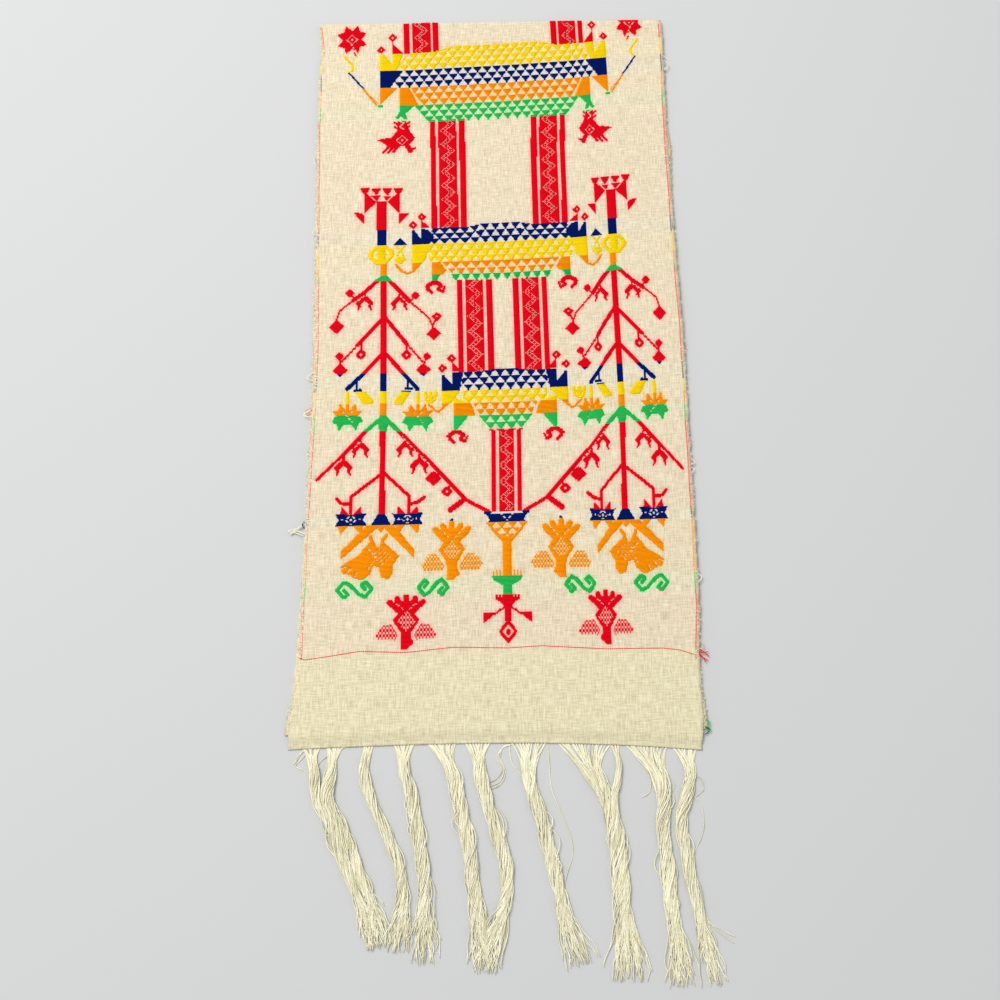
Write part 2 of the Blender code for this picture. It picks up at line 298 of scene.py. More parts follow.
# Rows sag between the two side figures: how deep at places along, and the shape across
SAG_AT = (-203, -90, -60, -10, 10, 26, 38, 51, 70, 140, 166, 173, 185, 205, 225, 349, 368, 389,
          410, 430, 465)
SAG_DEPTH = (0, 0.2, 1.0, 2.0, 2.7, 5.0, 3.7, 3.3, 3.0, 3.0, 3.9, 2.6, 1.4, 2.0, 2.0, 4.0, 4.2,
             2.6, 1.9, 1.7, 1.7)
SAG_ACROSS = (-160, -115, -85, -50, 0, 50, 75, 95, 115)
SAG_SHAPE = (-0.25, 0, 0.6, 0.7, 1.0, 0.9, 0.85, 0.45, 0)
# Low down, the right half also drops
DROP_AT = (-185, -130, -75, -20)
DROP_DEPTH = (0, 1.2, 2.5, 0)
DROP_ACROSS = (20, 110)

# Colours of the rows, from the far fold down to the red line
COLOUR_BANDS = (
    (430.3, "red"),
    (409.6, "yellow"),
    (388.9, "navy"),
    (368.2, "orange"),
    (349.0, "green"),
    (223.7, "red"),
    (205.5, "navy"),
    (184.9, "yellow"),
    (172.8, "orange"),
    (167.5, "green"),
    (69.1, "red"),
    (51.0, "navy"),
    (38.5, "yellow"),
    (26.3, "orange"),
    (10.5, "green"),
    (-70.7, "red"),
    (-81.1, "navy"),
    (-132.6, "orange"),
    (-149.2, "green"),
    (-210.0, "red"),
)

# The stitched red line above the plain end, in millimetres
RED_LINE = (
    (-170.6, -201.9),
    (-165.7, -203.8),
    (-142.1, -200.7),
    (-118.5, -197.4),
    (-77.6, -199.3),
    (-35.9, -195.7),
    (13.3, -197.5),
    (41.2, -196.2),
    (99.9, -200.5),
    (148.8, -200.9),
    (163.6, -203.0),
    (177.4, -207.7),
)
RED_LINE_STITCH = 1.7
STITCH_PLACES = (0.02, 0.2, 0.65, 0.85)
STITCH_LIFTS = (-0.3, 0.15, 0.15, -0.3)

# Turns of coloured weft at the side edges: how far inside, how long, and the share left out
Turns = namedtuple("Turns", "side inset length missing")
TOP_TURNS = (
    Turns(-1, 0.0026, 0.0009, 0.16),
    Turns(-1, 0.0012, 0.0005, 0.45),
    Turns(1, 0.0029, 0.0014, 0.03),
    Turns(1, 0.0013, 0.0006, 0.45),
)
MIDDLE_TURNS = (
    Turns(-1, 0.0011, 0.0014, 0.25),
    Turns(1, 0.0013, 0.0018, 0.15),
)
# From where to where such turns lie, how unevenly, and the places and lifts of one turn's rings
TOP_TURN_ROWS = (-0.203, 0.458)
MIDDLE_TURN_ROWS = (-0.240, 0.440)
TURN_UNEVEN = 0.0002
TURN_UNEVEN_PACE = 90
TURN_PLACES = (-0.5, -0.25, 0.25, 0.5)
TURN_LIFTS = (-0.3, 0.1, 0.1, -0.3)
# Colours of the turns of the middle layer: from which place on, in millimetres
MIDDLE_BANDS = (
    (328, "red"), (312, "orange"), (299, "yellow"), (275, "navy"), (196, "red"), (168, "orange"),
    (70, "red"), (42, "orange"), (-60, "red"), (-76, "navy"), (-100, "orange"), (-300, "red"),
)

# Loops and tufts at the side edges: the colour of each, then its points in millimetres
EDGE_LOOPS = (
    ("cream", (-173.3, 308.3), (-177.6, 300.2), (-176.2, 293.3), (-172.5, 287.5)),
    ("cream", (-171, 220.9), (-175.6, 216.5), (-171.1, 212.1)),
    ("cream", (-167.5, 67.3), (-174.9, 62.2), (-168, 57.1)),
    ("orange", (-168.9, 30.8), (-175.3, 27.3), (-171.4, 23.8), (-168.2, 25.7)),
    ("cream", (-169.9, 29), (-176.3, 24.3), (-172.4, 21.8), (-168.2, 22.7)),
    ("cream", (-170.9, -79.5), (-177.9, -86), (-184.6, -91.7), (-178.2, -88.4), (-171.3, -91.7)),
    ("cream", (-170, -78), (-175, -85), (-186, -88.5), (-179, -90.4), (-171.3, -93.7)),
    ("navy", (-170.8, -79), (-173.2, -82.8), (-170.8, -86.6), (-169, -82.3), (-172.4, -81),
     (-171.6, -85.4), (-169.8, -84)),
    ("cream", (179.3, 414), (183.4, 407.9), (179.2, 401.8)),
    ("cream", (181.7, -21), (186.4, -26), (181.4, -27.5)),
    ("cream", (181.7, -29), (185.9, -33), (182, -35)),
    ("cream", (181.7, -129.8), (186.6, -134.4), (182, -139.9)),
    ("red", (178.7, -198.5), (183.8, -201.2), (189.2, -205.7)),
    ("red", (178.5, -200.8), (184.4, -202.4), (188.6, -201.4)),
    ("red", (178.5, -202.1), (182.7, -205.6), (186.2, -211)),
    ("red", (178.2, -203), (183.5, -206.6), (188.2, -209.2)),
    ("cream", (179.4, -190), (183.2, -193.4), (184, -198.4), (179.6, -199)),
    ("green", (182.6, -260.6), (186.4, -263.4), (184.4, -266.8), (186.8, -269.4), (182.6, -270.7)),
    ("navy", (181.6, -266.6), (185.6, -269.8), (182, -273.4)),
    ("red", (180.6, 93), (184.4, 91), (181.4, 89.4)),
)

# The small loops between them: from where to where, their pitch, the share left out, how far
# they reach out and along, and the way of one loop as shares of that reach
EDGE_ROWS = (-0.255, 0.452)
EDGE_PITCH = 0.0034
EDGE_MISSING = 0.5
EDGE_PLACE_UNEVEN = 0.0015
EDGE_INSET = 0.0006
EDGE_OUT = (0.0010, 0.0024)
EDGE_ALONG = 0.0025
EDGE_RADIUS = 0.00030
EDGE_LOOP = ((0, 0), (1, 0.4), (0.8, 1), (0, 1.3))
LOOP_RADIUS = 0.00042
LOOP_POINTS = 18
LOOP_INSET = 0.004
LOOP_DROOP = 0.0016
LOOP_DROOP_LENGTH = 0.010

# Fringe: where each bundle leaves the cloth, its widths, its reach, and its course as distances
# from the cloth and places across. The first bundle and the widest one have two legs.
GATHER_LEAST = 0.018
GATHER_GAIN = 0.62
GATHER_LENGTH = 0.045
SPREAD_START = 0.085
Bundle = namedtuple("Bundle", "left right waist spread reach course")
BUNDLES = (
    Bundle(-0.1660, -0.1490, 0.0100, 0.015, 0.163,
           ((0, -157.5), (22, -154), (46, -150.5), (61, -141.5), (86, -132.2), (110, -122.3),
            (134, -110.5), (157, -102.5))),
    Bundle(-0.1470, -0.1290, 0.0115, 0.017, 0.162,
           ((0, -138), (23, -140.5), (46, -141.5), (61, -133), (86, -122.6), (110, -112),
            (134, -100.5), (157, -94.5))),
    Bundle(-0.1144, -0.1035, 0.0095, 0.019, 0.167,
           ((0, -111), (24, -111.7), (45, -105.2), (72, -92.7), (87, -86.5), (100, -81.3),
            (112, -78.6), (131, -76.6), (158, -78.6))),
    Bundle(-0.0880, -0.0664, 0.0115, 0.022, 0.176,
           ((0, -78.5), (25, -76.6), (38, -71.8), (64, -67.6), (88, -63), (112, -59.6),
            (136, -58.3), (166, -58.8))),
    Bundle(-0.0600, -0.0303, 0.0130, 0.022, 0.184,
           ((0, -44.5), (26, -34.9), (47, -31.3), (65, -27), (89, -21.9), (113, -19.2),
            (137, -15.3), (167, -11.2))),
    Bundle(-0.0280, -0.0020, 0.0120, 0.019, 0.181,
           ((0, -14), (26, -12.5), (48, -6.6), (65, -1.6), (89, 5.4), (102, 9), (120, 9.8),
            (144, 3.7), (167, -4.7))),
    Bundle(0.0134, 0.0468, 0.0120, 0.022, 0.177,
           ((0, 29.5), (27, 29.4), (48, 34.2), (65, 39.8), (89, 45.3), (113, 50.6), (144, 58.2),
            (167, 67))),
    Bundle(0.0520, 0.1020, 0.0150, 0.027, 0.188,
           ((0, 77), (22, 84.5), (40, 92.5), (52, 97), (65, 100.2), (88, 102.6), (115, 104),
            (142, 106.4), (175, 107.6))),
    Bundle(0.0985, 0.1086, 0.0060, 0.014, 0.180,
           ((0, 103.5), (15, 106), (30, 105), (46, 101.5), (65, 103.4), (88, 105.6), (115, 106.6),
            (142, 109), (175, 112))),
    Bundle(0.1110, 0.1497, 0.0130, 0.023, 0.190,
           ((0, 133.5), (23, 142), (44, 143.8), (69, 141.8), (93, 143), (113, 144.7), (148, 147.9),
            (179, 151.2))),
    Bundle(0.1525, 0.1755, 0.0105, 0.016, 0.187,
           ((0, 166), (22, 167.6), (36, 164.4), (62, 157.3), (92, 159.9), (112, 164.2),
            (146, 170.9), (177, 177.3))),
)
HIDDEN_BUNDLES = 9
HIDDEN_REACH = 0.160
HIDDEN_WAIST = 0.010
HIDDEN_SPREAD = 0.016
HIDDEN_YARNS = 12
HIDDEN_POINTS = 14
HIDDEN_UNEVEN = 0.008
HIDDEN_ROOT_HALF = 0.36
HIDDEN_SPLAY_LENGTH = 0.08
HIDDEN_SWAY = 0.003
HIDDEN_START = 0.0003

# Coloured floats: the sides of their tubes, how much wider than their pitch, how far they sink,
# their rise, its unevenness, and the size that their ends keep
FLOAT_SIDES = 3
FLOAT_SPREAD = 0.68
FLOAT_SINK = 0.12
FLOAT_RISE = 0.62
FLOAT_UNEVEN = 0.06
FLOAT_END_SIZE = 0.45
# Where a float dips and rises again at its ends, in cells, and its height at a tie
FLOAT_END = 0.15
FLOAT_SHOULDER = 0.3
TIE_HEIGHT = 0.75
RED_LINE_HALF = 1.0
TURN_HALF = 0.86

# Fringe as it shows
YARN_RADIUS = 0.00040
YARNS_PER_METRE = 4500
YARN_POINTS = 46
ROOT_UNDER_CLOTH = 0.0020
CLUMP_PITCH = 0.0031
CLUMP_SPREAD = 0.0007
STRANDS = 5
STRAND_PLACE = 0.50
ROPE_PITCH = 0.105
ROPE_HEIGHT = 0.0050
END_HEIGHT = 0.0030
CRIMP = 0.0012
WANDER_ASIDE = 0.0009
LENGTH_UNEVEN = 0.20
END_CURL = 0.0022
LOOSE_SHARE = 0.15
LOOSE_BULGE = (0.0020, 0.0065)
LOOSE_POINTS = 40
LOOSE_LIFT = 0.0006
LOOSE_PLACE = (0.15, 0.85)
LOOSE_LENGTH = (0.006, 0.014)
LOOSE_RADIUS = YARN_RADIUS * 0.8
HIDDEN_RADIUS = YARN_RADIUS * 0.9
TUBE_SIDES = 5
TUBE_END = 0.6
LEAST_LENGTH = 1e-12
TONE_STEP = 0.037
# A yarn's own turn in its strand, its splayed end, its sway and crimp, and its curled tip
OWN_TURN = 1.6
SPLAY_POWER = 1.4
END_FOLLOW = 0.6
END_STRAY = 0.5
END_REACH = 1.35
SWAY_SIZE = (0.3, 1.0)
SWAY_LENGTH = (0.035, 0.075)
CRIMP_SIZE = (0.2, 1.0)
CRIMP_START = 0.55
CRIMP_FADE = 0.45
CRIMP_LENGTH = (0.013, 0.026)
CURL_START = 0.86
CURL_LENGTH = 0.14
# A bundle's clumps at the root: the fewest, their unevenness and how unevenly they gather
FEWEST_CLUMPS = 3
CLUMP_UNEVEN = 0.3
GATHER_UNEVEN = (0.75, 1.2)
LONGEST = 1.02
LENGTH_POWER = 1.7
LEAN_STEP = 0.002
ROOT_HEIGHT = 0.0004
ROOT_FLAT_LENGTH = 0.004

# Loose threads that have left their bundles: points across and along, in millimetres
LOOSE_THREADS = (
    ((46, -280.5), (47, -300), (48.5, -318), (58.5, -343), (65.4, -369), (58.1, -394.6),
     (62, -425), (66, -437)),
    ((163, -395), (169.6, -412.8), (174.6, -425.3), (186.6, -432.4), (197.4, -437.9)),
    ((164, -404), (172, -420), (183, -433), (196, -443)),
    ((18.0, -280.3), (9, -281.5), (3.5, -290), (8.0, -302), (4, -312), (-4.8, -315.6)),
    ((17.2, -280.3), (8, -282.5), (4.6, -291), (9.4, -303), (5, -314), (-5.2, -318.6)),
    ((16.2, -280.3), (7, -283.5), (2.2, -291), (6.4, -301), (2, -309), (-6.0, -312.6)),
    ((12.5, -280.3), (15.5, -297), (24, -308), (28, -317)),
    ((-127, -281.5), (-139, -286), (-151, -296), (-157, -307)),
    ((-158, -281.5), (-167, -293), (-171, -297), (-164, -301), (-156, -307)),
    ((-163, -281.8), (-172, -296), (-168, -288), (-160, -283)),
    ((123, -281.5), (126, -296), (133, -310), (131, -322), (124, -326)),
    ((148, -281.5), (141, -289), (148, -303), (153, -318), (145, -326)),
    ((166, -305), (177, -312), (178, -319), (170, -326)),
    ((168, -322), (176, -337), (176, -352), (167, -372), (165, -378)),
)

# Colours, in linear light
CREAM = (0.83, 0.73, 0.54)
CREAM_SHADE = (0.54, 0.455, 0.295)
YARN_CREAM = (0.97, 0.93, 0.72)
YARN_SHADE = (0.66, 0.61, 0.41)
COLOURS = {
    "red": (0.84, 0.003, 0.013),
    "navy": (0.002, 0.011, 0.135),
    "yellow": (1.0, 0.73, 0.006),
    "orange": (1.0, 0.33, 0.003),
    "green": (0.028, 0.53, 0.105),
}
# How much the cloth is tinted where yarns of each colour pass behind it
BEHIND = {
    "red": (1.12, 0.54, 0.66),
    "navy": (0.84, 0.96, 1.38),
    "yellow": (1.08, 0.98, 0.26),
    "orange": (1.04, 0.78, 0.36),
    "green": (0.50, 1.16, 0.74),
}
SHOW_THROUGH = 2.1
SHOW_THROUGH_MOST = 0.92
ROW_TINT = 0.03
PLAIN_END = (0.985, 1.035, 0.955)
PLAIN_END_START = -0.1995
PLAIN_END_FADE = 0.004
# Painted shade in the small holes between the yarns of the weave: its colour, and how far it darkens them
HOLE_SHADE_COLOUR = (0.30, 0.23, 0.13)
HOLE_SHADE_SHARE = 0.55
SPECK_COLOUR = (0.16, 0.11, 0.06)
SPECK_SHARE = 0.6
FLOAT_SHADE = 0.90
FLOOR_COLOUR = (0.56, 0.56, 0.55, 1.0)
ROOM_COLOUR = (0.95, 0.97, 1.0, 1.0)

# Camera and light, from the photo's own angle
CAMERA_PLACE = (0.003974, -0.389041, 1.050)
CAMERA_TILT = math.radians(17.422)
CAMERA_TURN = math.radians(-0.429)
CAMERA_LENS = 43.2
CAMERA_SENSOR = 36.0
LIGHT_PLACE = (-1.5, 1.35, 3.3)
LIGHT_AIM = (0.0, 0.05, 0.0)
LIGHT_SIZE = 2.0
LIGHT_POWER = 121.0
ROOM_STRENGTH = 0.62
FLOOR_HALF = 4.0


def smoothstep(value):
    """Ease from 0 to 1 as the value does."""
    t = np.clip(value, 0.0, 1.0)
    return t * t * (3 - 2 * t)


def mix(start, end, share):
    return start + (end - start) * share


def near_edge_y(x):
    """The cloth's near edge, whose corners lie a little nearer than its middle."""
    across = x / HALF_WIDTH
    return NEAR_EDGE_Y - (NEAR_EDGE_BOW + NEAR_EDGE_BOW_TO_RIGHT * across) * across * across


def side_edges(sides, y):
    """The left and right edges of a layer at one place along it."""
    rows = sorted(sides)
    places = [row.y for row in rows]
    left = np.interp(y, places, [row.left for row in rows])
    right = np.interp(y, places, [row.right for row in rows])
    return left, right


def wave(x, y, height):
    """A long low wave that dies out at both folds."""
    along = np.clip((y - NEAR_FOLD_Y) / (FAR_FOLD_Y - NEAR_FOLD_Y), 0.0, 1.0)
    turn = 2 * math.pi * (x / WAVE_PITCH_X + y / WAVE_PITCH_Y)
    return height * np.sin(math.pi * along) * (0.5 + 0.5 * np.sin(turn))


def relief(x, y):
    """The upper layer's creases and its slight flutter."""
    height = FLUTTER * sum(np.sin(i * x + j * y + start) for i, j, start in FLUTTER_WAVES)
    for crease in CREASES:
        away = (y - crease.y - crease.slope * x) / crease.width
        uneven = CREASE_LEAST + CREASE_UNEVEN * np.sin(19 * x + 70 * crease.y)
        height = height + crease.height * uneven * np.exp(-away * away)
    inner = smoothstep((FAR_FOLD_Y - y) / PUFF_LENGTH)
    return height * inner * smoothstep((y - DESCENT_START_Y) / PUFF_LENGTH)


def top_row_share(row_y):
    return (FAR_FOLD_Y - row_y) / (FAR_FOLD_Y - NEAR_EDGE_Y)


def top_shift(x, row_y):
    """How far a point of the upper layer lies along Y from its row's place in the middle."""
    share = np.clip(top_row_share(row_y), 0.0, 1.0)
    bow = near_edge_y(x) - NEAR_EDGE_Y
    return (1 - share) * FOLD_SKEW * x + share**3 * bow


def top_height(x, row_y):
    """The middle surface of the upper layer."""
    puff = FAR_FOLD_PUFF * smoothstep(1 - (FAR_FOLD_Y - row_y) / PUFF_LENGTH)
    descent = smoothstep((DESCENT_START_Y - row_y) / DESCENT_LENGTH)
    lift = NEAR_EDGE_LIFT * smoothstep((NEAR_EDGE_Y + NEAR_LIFT_LENGTH - row_y) / NEAR_LIFT_LENGTH)
    low = BOTTOM_Z + lift
    flat = mix(TOP_Z + puff, low, descent)
    return flat + wave(x, row_y, MIDDLE_WAVE + TOP_WAVE) + relief(x, row_y)


def top_row_at(x, y):
    """The row of the upper layer that passes through a place."""
    row_y = np.array(y, float)
    for _ in range(4):
        row_y = y - top_shift(x, row_y)
    return row_y


def on_top(x, y, lift):
    """Points that lie a little above the upper layer, and the way up from it there.

    Past the far fold they go down around it.
    """
    row_y = top_row_at(x, y)
    height = top_height(x, np.minimum(row_y, FAR_FOLD_Y))
    past = np.maximum(row_y - FAR_FOLD_Y, 0.0)
    angle = past / FAR_FOLD_RADIUS
    reach = FAR_FOLD_RADIUS + lift
    point_y = np.where(past > 0, y - past + np.sin(angle) * reach, y)
    point_z = height + np.where(past > 0, np.cos(angle) * reach - FAR_FOLD_RADIUS, lift)
    up = np.stack([np.zeros_like(x), np.sin(angle), np.cos(angle)], axis=-1)
    return np.stack([x, point_y, point_z], axis=-1), up


def sag(h, b):
    """How far a weft lies below its straight line, h and b in millimetres."""
    deep = np.interp(b, SAG_AT, SAG_DEPTH) * np.interp(h, SAG_ACROSS, SAG_SHAPE)
    return deep + np.interp(b, DROP_AT, DROP_DEPTH) * smoothstep(
        (h - DROP_ACROSS[0]) / (DROP_ACROSS[1] - DROP_ACROSS[0])
    )


def design_axis(b):
    """Where the design's middle line is, across, at one place along it."""
    return AXIS[0] + AXIS[1] * b + AXIS[2] * b * b


def wander(b):
    return MM * np.interp(b / MM, WANDER_AT, WANDER)


def across_place(place, b):
    """Where a place of the chart lies across, both measured from the middle."""
    right = MM * np.interp(place / MM, LEFT_REACH, RIGHT_REACH)
    return design_axis(b) + wander(b) + np.where(place > 0, right, place)


def chart_place(a, b):
    """The place in the chart of a point of the cloth."""
    away = a - design_axis(b) - wander(b)
    right = MM * np.interp(away / MM, RIGHT_REACH, LEFT_REACH)
    return np.where(away > 0, right, away)


def weft_place(a, b):
    """The place of a point of the design: a across and b along, following the weft."""
    drop = MM * sag((a - design_axis(b)) / MM, b / MM)
    return a, b - drop + (ROW_SLOPE + ROW_SLOPE_GAIN * b) * a


def weft_row(x, y):
    """The weft that passes through a place."""
    b = y
    for _ in range(4):
        drop = MM * sag((x - design_axis(b)) / MM, b / MM)
        b = (y + drop - ROW_SLOPE * x) / (1 + ROW_SLOPE_GAIN * x)
    return b


def band_colour(b):
    """The name of the weft's colour, b in millimetres."""
    for low, name in COLOUR_BANDS:
        if b > low:
            return name
    return "red"


def flip(h, b, side, *places, tall=1.0):
    """Places given from (h, b), turned to one side and stretched along."""
    return [(h + x * side, b + y * tall) for x, y in places]


class Chart:
    """Half of the woven design. A cell is on where a coloured float shows."""

    def __init__(self):
        self.column, self.row = np.meshgrid(np.arange(CHART_COLUMNS), np.arange(CHART_ROWS))
        self.middle = (self.column + 0.5) * CELL_ACROSS
        self.weft = CHART_LOW + (self.row + 0.5) * CELL
        # Middle figures are drawn from the true middle, the others from the left side's line
        apart = np.where(self.weft > MIDDLE_TOP, 1.0, np.clip((self.middle - 20) / 10, 0, 1))
        self.h = self.middle - np.interp(self.weft, WANDER_AT, WANDER) * apart
        self.measured = self.weft - sag(-self.h, self.weft)
        self.b = self.measured
        self.on = np.zeros(self.h.shape, bool)
        names = list(COLOURS)
        rows = [names.index(band_colour(b)) for b in self.weft[:, 0]]
        self.hue = np.repeat(np.array(rows)[:, None], CHART_COLUMNS, axis=1)

    def follow_weft(self, follow):
        """Whether what comes next keeps to the sagging weft, or to places as they were seen."""
        self.b = self.weft if follow else self.measured

    def whole(self):
        """Both halves, with the middle column's own zigzag, which isn't mirrored."""
        full = np.hstack([self.on[:, ::-1], self.on])
        column, row = np.meshgrid(np.arange(2 * CHART_COLUMNS), np.arange(CHART_ROWS))
        b = CHART_LOW + (row + 0.5) * CELL
        place = column - CHART_COLUMNS + 0.5
        light = self.zigzag(place, row) & (np.abs(place) < MIDDLE_STRIPE_HALF)
        full[light & (b > MIDDLE_COLUMN[0]) & (b < MIDDLE_COLUMN[1])] = False
        return full, np.hstack([self.hue[:, ::-1], self.hue])

    def zigzag(self, place, row):
        """Two fine lines with dots between them, place in cells from the zigzag's middle."""
        turn = np.abs((row + LADDER_START) % LADDER_PERIOD - LADDER_PERIOD / 2)
        away = place - LADDER_SWING * (turn / (LADDER_PERIOD / 2) - 0.5)
        lines = np.abs(np.abs(away) - ZIGZAG_LINE_AWAY) < ZIGZAG_LINE_HALF
        return lines | ((np.abs(away) < 0.5) & (row % 2 == 0))

    def between(self, left, right, low, high):
        return (self.h > left) & (self.h < right) & (self.b > low) & (self.b < high)

    def inside(self, points):
        found = np.zeros(self.on.shape, bool)
        for (h0, b0), (h1, b1) in zip(points, [*points[1:], points[0]]):
            if b0 == b1:
                continue
            crosses = (self.b > min(b0, b1)) & (self.b <= max(b0, b1))
            at = h0 + (self.b - b0) * (h1 - h0) / (b1 - b0)
            found ^= crosses & (self.h < at)
        return found

    def near(self, points, width):
        found = np.zeros(self.on.shape, bool)
        for (h0, b0), (h1, b1) in zip(points, points[1:]):
            size = (h1 - h0) ** 2 + (b1 - b0) ** 2
            t = ((self.h - h0) * (h1 - h0) + (self.b - b0) * (b1 - b0)) / size
            t = np.clip(t, 0, 1)
            away = np.hypot(self.h - h0 - t * (h1 - h0), self.b - b0 - t * (b1 - b0))
            found |= away <= width / 2
        return found

    def box(self, left, right, low, high, on=True):
        self.on[self.between(left, right, low, high)] = on

    def bar(self, left, right, low, high):
        """A box whose ends follow the weft."""
        rows = (self.weft > low) & (self.weft < high)
        self.on[(self.h > left) & (self.h < right) & rows] = True

    def shape(self, *points, on=True):
        self.on[self.inside(points)] = on

    def disc(self, h, b, radius, on=True):
        across = np.abs(self.h - h) ** DISC_ROUNDNESS
        along = np.abs(self.b - b) ** DISC_ROUNDNESS
        self.on[across + along < radius**DISC_ROUNDNESS] = on

    def line(self, width, *points, on=True):
        self.on[self.near(points, width)] = on

    def thread(self, width, *points, on=True):
        """A fine line: thinner at every third row where it is woven, broken there where not."""
        third = self.row % 3 == 0
        thin = self.near(points, THREAD_THIN * width) if on else False
        self.on[self.near(points, width) & ~third | third & thin] = on

    def diamond(self, h, b, half, on=True):
        self.on[np.abs(self.h - h) + np.abs(self.b - b) < half] = on

    def eye(self, h, b, half):
        """A small diamond with a hole."""
        self.diamond(h, b, half)
        self.diamond(h, b, 0.26 * half, on=False)

    def checks(self, where):
        """Fill a part of the chart with small alternating checks."""
        self.on[where] = ((self.column % 3 == 0) ^ (self.row // 2 % 2 == 0))[where]

    def dye(self, where, colour):
        """Weave a part of the chart in a colour that isn't its row's."""
        self.hue[where] = list(COLOURS).index(colour)

    def lattice(self, top, low, ranks, first, edge, colour=None):
        """Ranks of small triangles pointing down, each rank shifted by half a pitch.

        The first rank has a triangle on the middle line if first is 0, and beside it if it is 1.
        """
        depth = (top - self.weft) / np.maximum(top - low, LEAST_HEIGHT) * ranks
        rank = np.floor(depth).astype(int)
        half = LATTICE_PITCH / 2
        place = self.column + 0.5 + half * ((rank + first) % 2)
        away = np.abs((place + half) % LATTICE_PITCH - half)
        inside = (rank >= 0) & (rank < ranks) & (self.middle < edge)
        cells = inside & (away < half * LATTICE_FILL * (TRIANGLE_TOP - depth + rank))
        self.on[cells] = True
        if colour:
            self.dye(inside, colour)

    def ladder(self, centre, low, high):
        """A zigzag of two fine light lines with dots between them, up a solid stripe."""
        light = self.zigzag((self.h - centre) / CELL_ACROSS, self.row)
        self.on[light & (self.weft > low) & (self.weft < high)] = False

    def fruit(self, h, b, radius, stem_h, stem_b):
        """A small round fruit on its stem."""
        self.line(1.6, (stem_h, stem_b), (h, b))
        self.disc(h, b, radius)

    def ring(self, h, b, radius):
        """A small round fruit with a hole."""
        self.disc(h, b, radius)
        self.diamond(h, b, 1.6, on=False)

    def claw(self, h, b, top):
        """A hooked pair of sepals hanging from a branch."""
        self.line(3.0, (h, top), (h, b + 4))
        for side in (-1, 1):
            self.line(4.9, *flip(h, b, side, (0.3, 5.2), (6.0, -0.4)))
            self.line(3.2, *flip(h, b, side, (6.2, 0), (4.8, -3.6)))
            self.line(1.9, *flip(h, b, side, (4.6, -3.8), (6.4, -7.2)))

    def scroll(self, h, b, turn):
        """A lying double curl, turned over and narrowed by turn."""
        half = [(9.7, -0.5), (6.3, -4.2), (10.0, -6.9), (16.2, 0), (10.0, 6.9), (4.6, 4.6)]
        points = half + [(-x, -y) for x, y in half[::-1]]
        self.line(3.3, *flip(h, b, turn, *points))

    def lily(self, h, b):
        """A lily seen from the side: its petals above and its leaves below."""
        for side in (-1, 1):
            self.shape(*flip(h, b, side, (0, 0), (9.5, 0), (14.2, 5.2), (8.6, 5.4), (7.4, 13.4),
                             (2.8, 6.8), (0, 4)))
            self.shape(*flip(h, b, side, (0, 0), (11.5, 0), (14.6, -5.6), (10.2, -7.6),
                             (7.8, -15), (4.4, -9), (0, -8.2)))
            self.thread(1.2, *flip(h, b, side, (-4.5, -6), (4.5, 5)), on=False)
        self.box(h - 1.5, h + 1.5, b + 3, b + 25)

    def crouching_beast(self, h, b):
        """A small crouching beast: back, haunch, two legs and a raised tail."""
        for width, *places in (
            (4.2, (-3, -4.5), (-7, -2.2), (-12, -2.6), (-15, -6)),
            (3.2, (-3, -4.5), (-2.2, -8.5), (-6, -12.5)),
            (3.2, (-14, -6), (-12.3, -9.5), (-16.5, -12)),
            (2.2, (-16.5, -12), (-18.8, -7)),
            (1.8, (0, -6.2), (-3, -5)),
        ):
            self.line(width, *flip(h, b, 1, *places))

    def crowned_figure(self, h, b, tall):
        """A bird with spread wings under a crown of feathers."""
        for side in (-1, 1):
            for across, low in ((0, 2.6), (8.0, 4.6), (14.8, 7.6)):
                self.line(5.2, (h + 0.2 * across * side, b - 19 * tall), (h + across * side, b - low))
            self.shape(*flip(h, b, side, (0, -6.5), (10, -7.5), (16, -10.5), (7.2, -20),
                             (11.8, -26.5), (4.8, -38.5), (0, -38.5), tall=tall))
        middle = b - 27.5 * tall
        self.checks(np.abs(self.h - h) + 0.85 * np.abs(self.b - middle) < 8.4)
        self.shape(*flip(h, b, 1, (5, -38), (4.2, -47), (4.8, -55), (-1.5, -55), (-7, -49),
                         (-4.4, -44), (-5, -38), tall=tall))
        for side in (-1, 1):
            self.checks(self.inside(flip(
                h, b, side, (27.5, -41), (21, -31), (13.5, -30.5), (6.8, -41.5), (8.5, -46),
                (25, -45.5), tall=tall,
            )))
            self.thread(1.2, (h + 3 * side, b - 15 * tall), (h + 9.5 * side, b - 8), on=False)


def chart_star(chart, h, b):
    """The eight-pointed star, with a light ring round its middle."""
    points = []
    for i in range(16):
        angle = math.pi * (i / 8 + 1 / 8)
        reach = 17.4 if i % 2 == 0 else (10.0 if i % 4 == 3 else 12.5)
        points.append((h + 0.93 * reach * math.cos(angle), b + 1.06 * reach * math.sin(angle)))
    chart.shape(*points)
    chart.diamond(h, b, 6.3, on=False)
    chart.diamond(h, b, 4.9)
    chart.diamond(h, b, 1.7, on=False)
    chart.thread(1.2, (h + 1, b - 6), (h - 3.5, b - 14), on=False)
    chart.thread(1.6, (h - 2, b - 16.5), (h - 5.5, b - 22))


def chart_columns(chart, bars, stripe, low, high):
    """A pair of narrow bars beside a broad stripe that a zigzag climbs."""
    for left, right in bars:
        chart.bar(left, right, low, high)
    chart.bar(*stripe, low, high)
    chart.ladder((stripe[0] + stripe[1]) / 2, low, high)


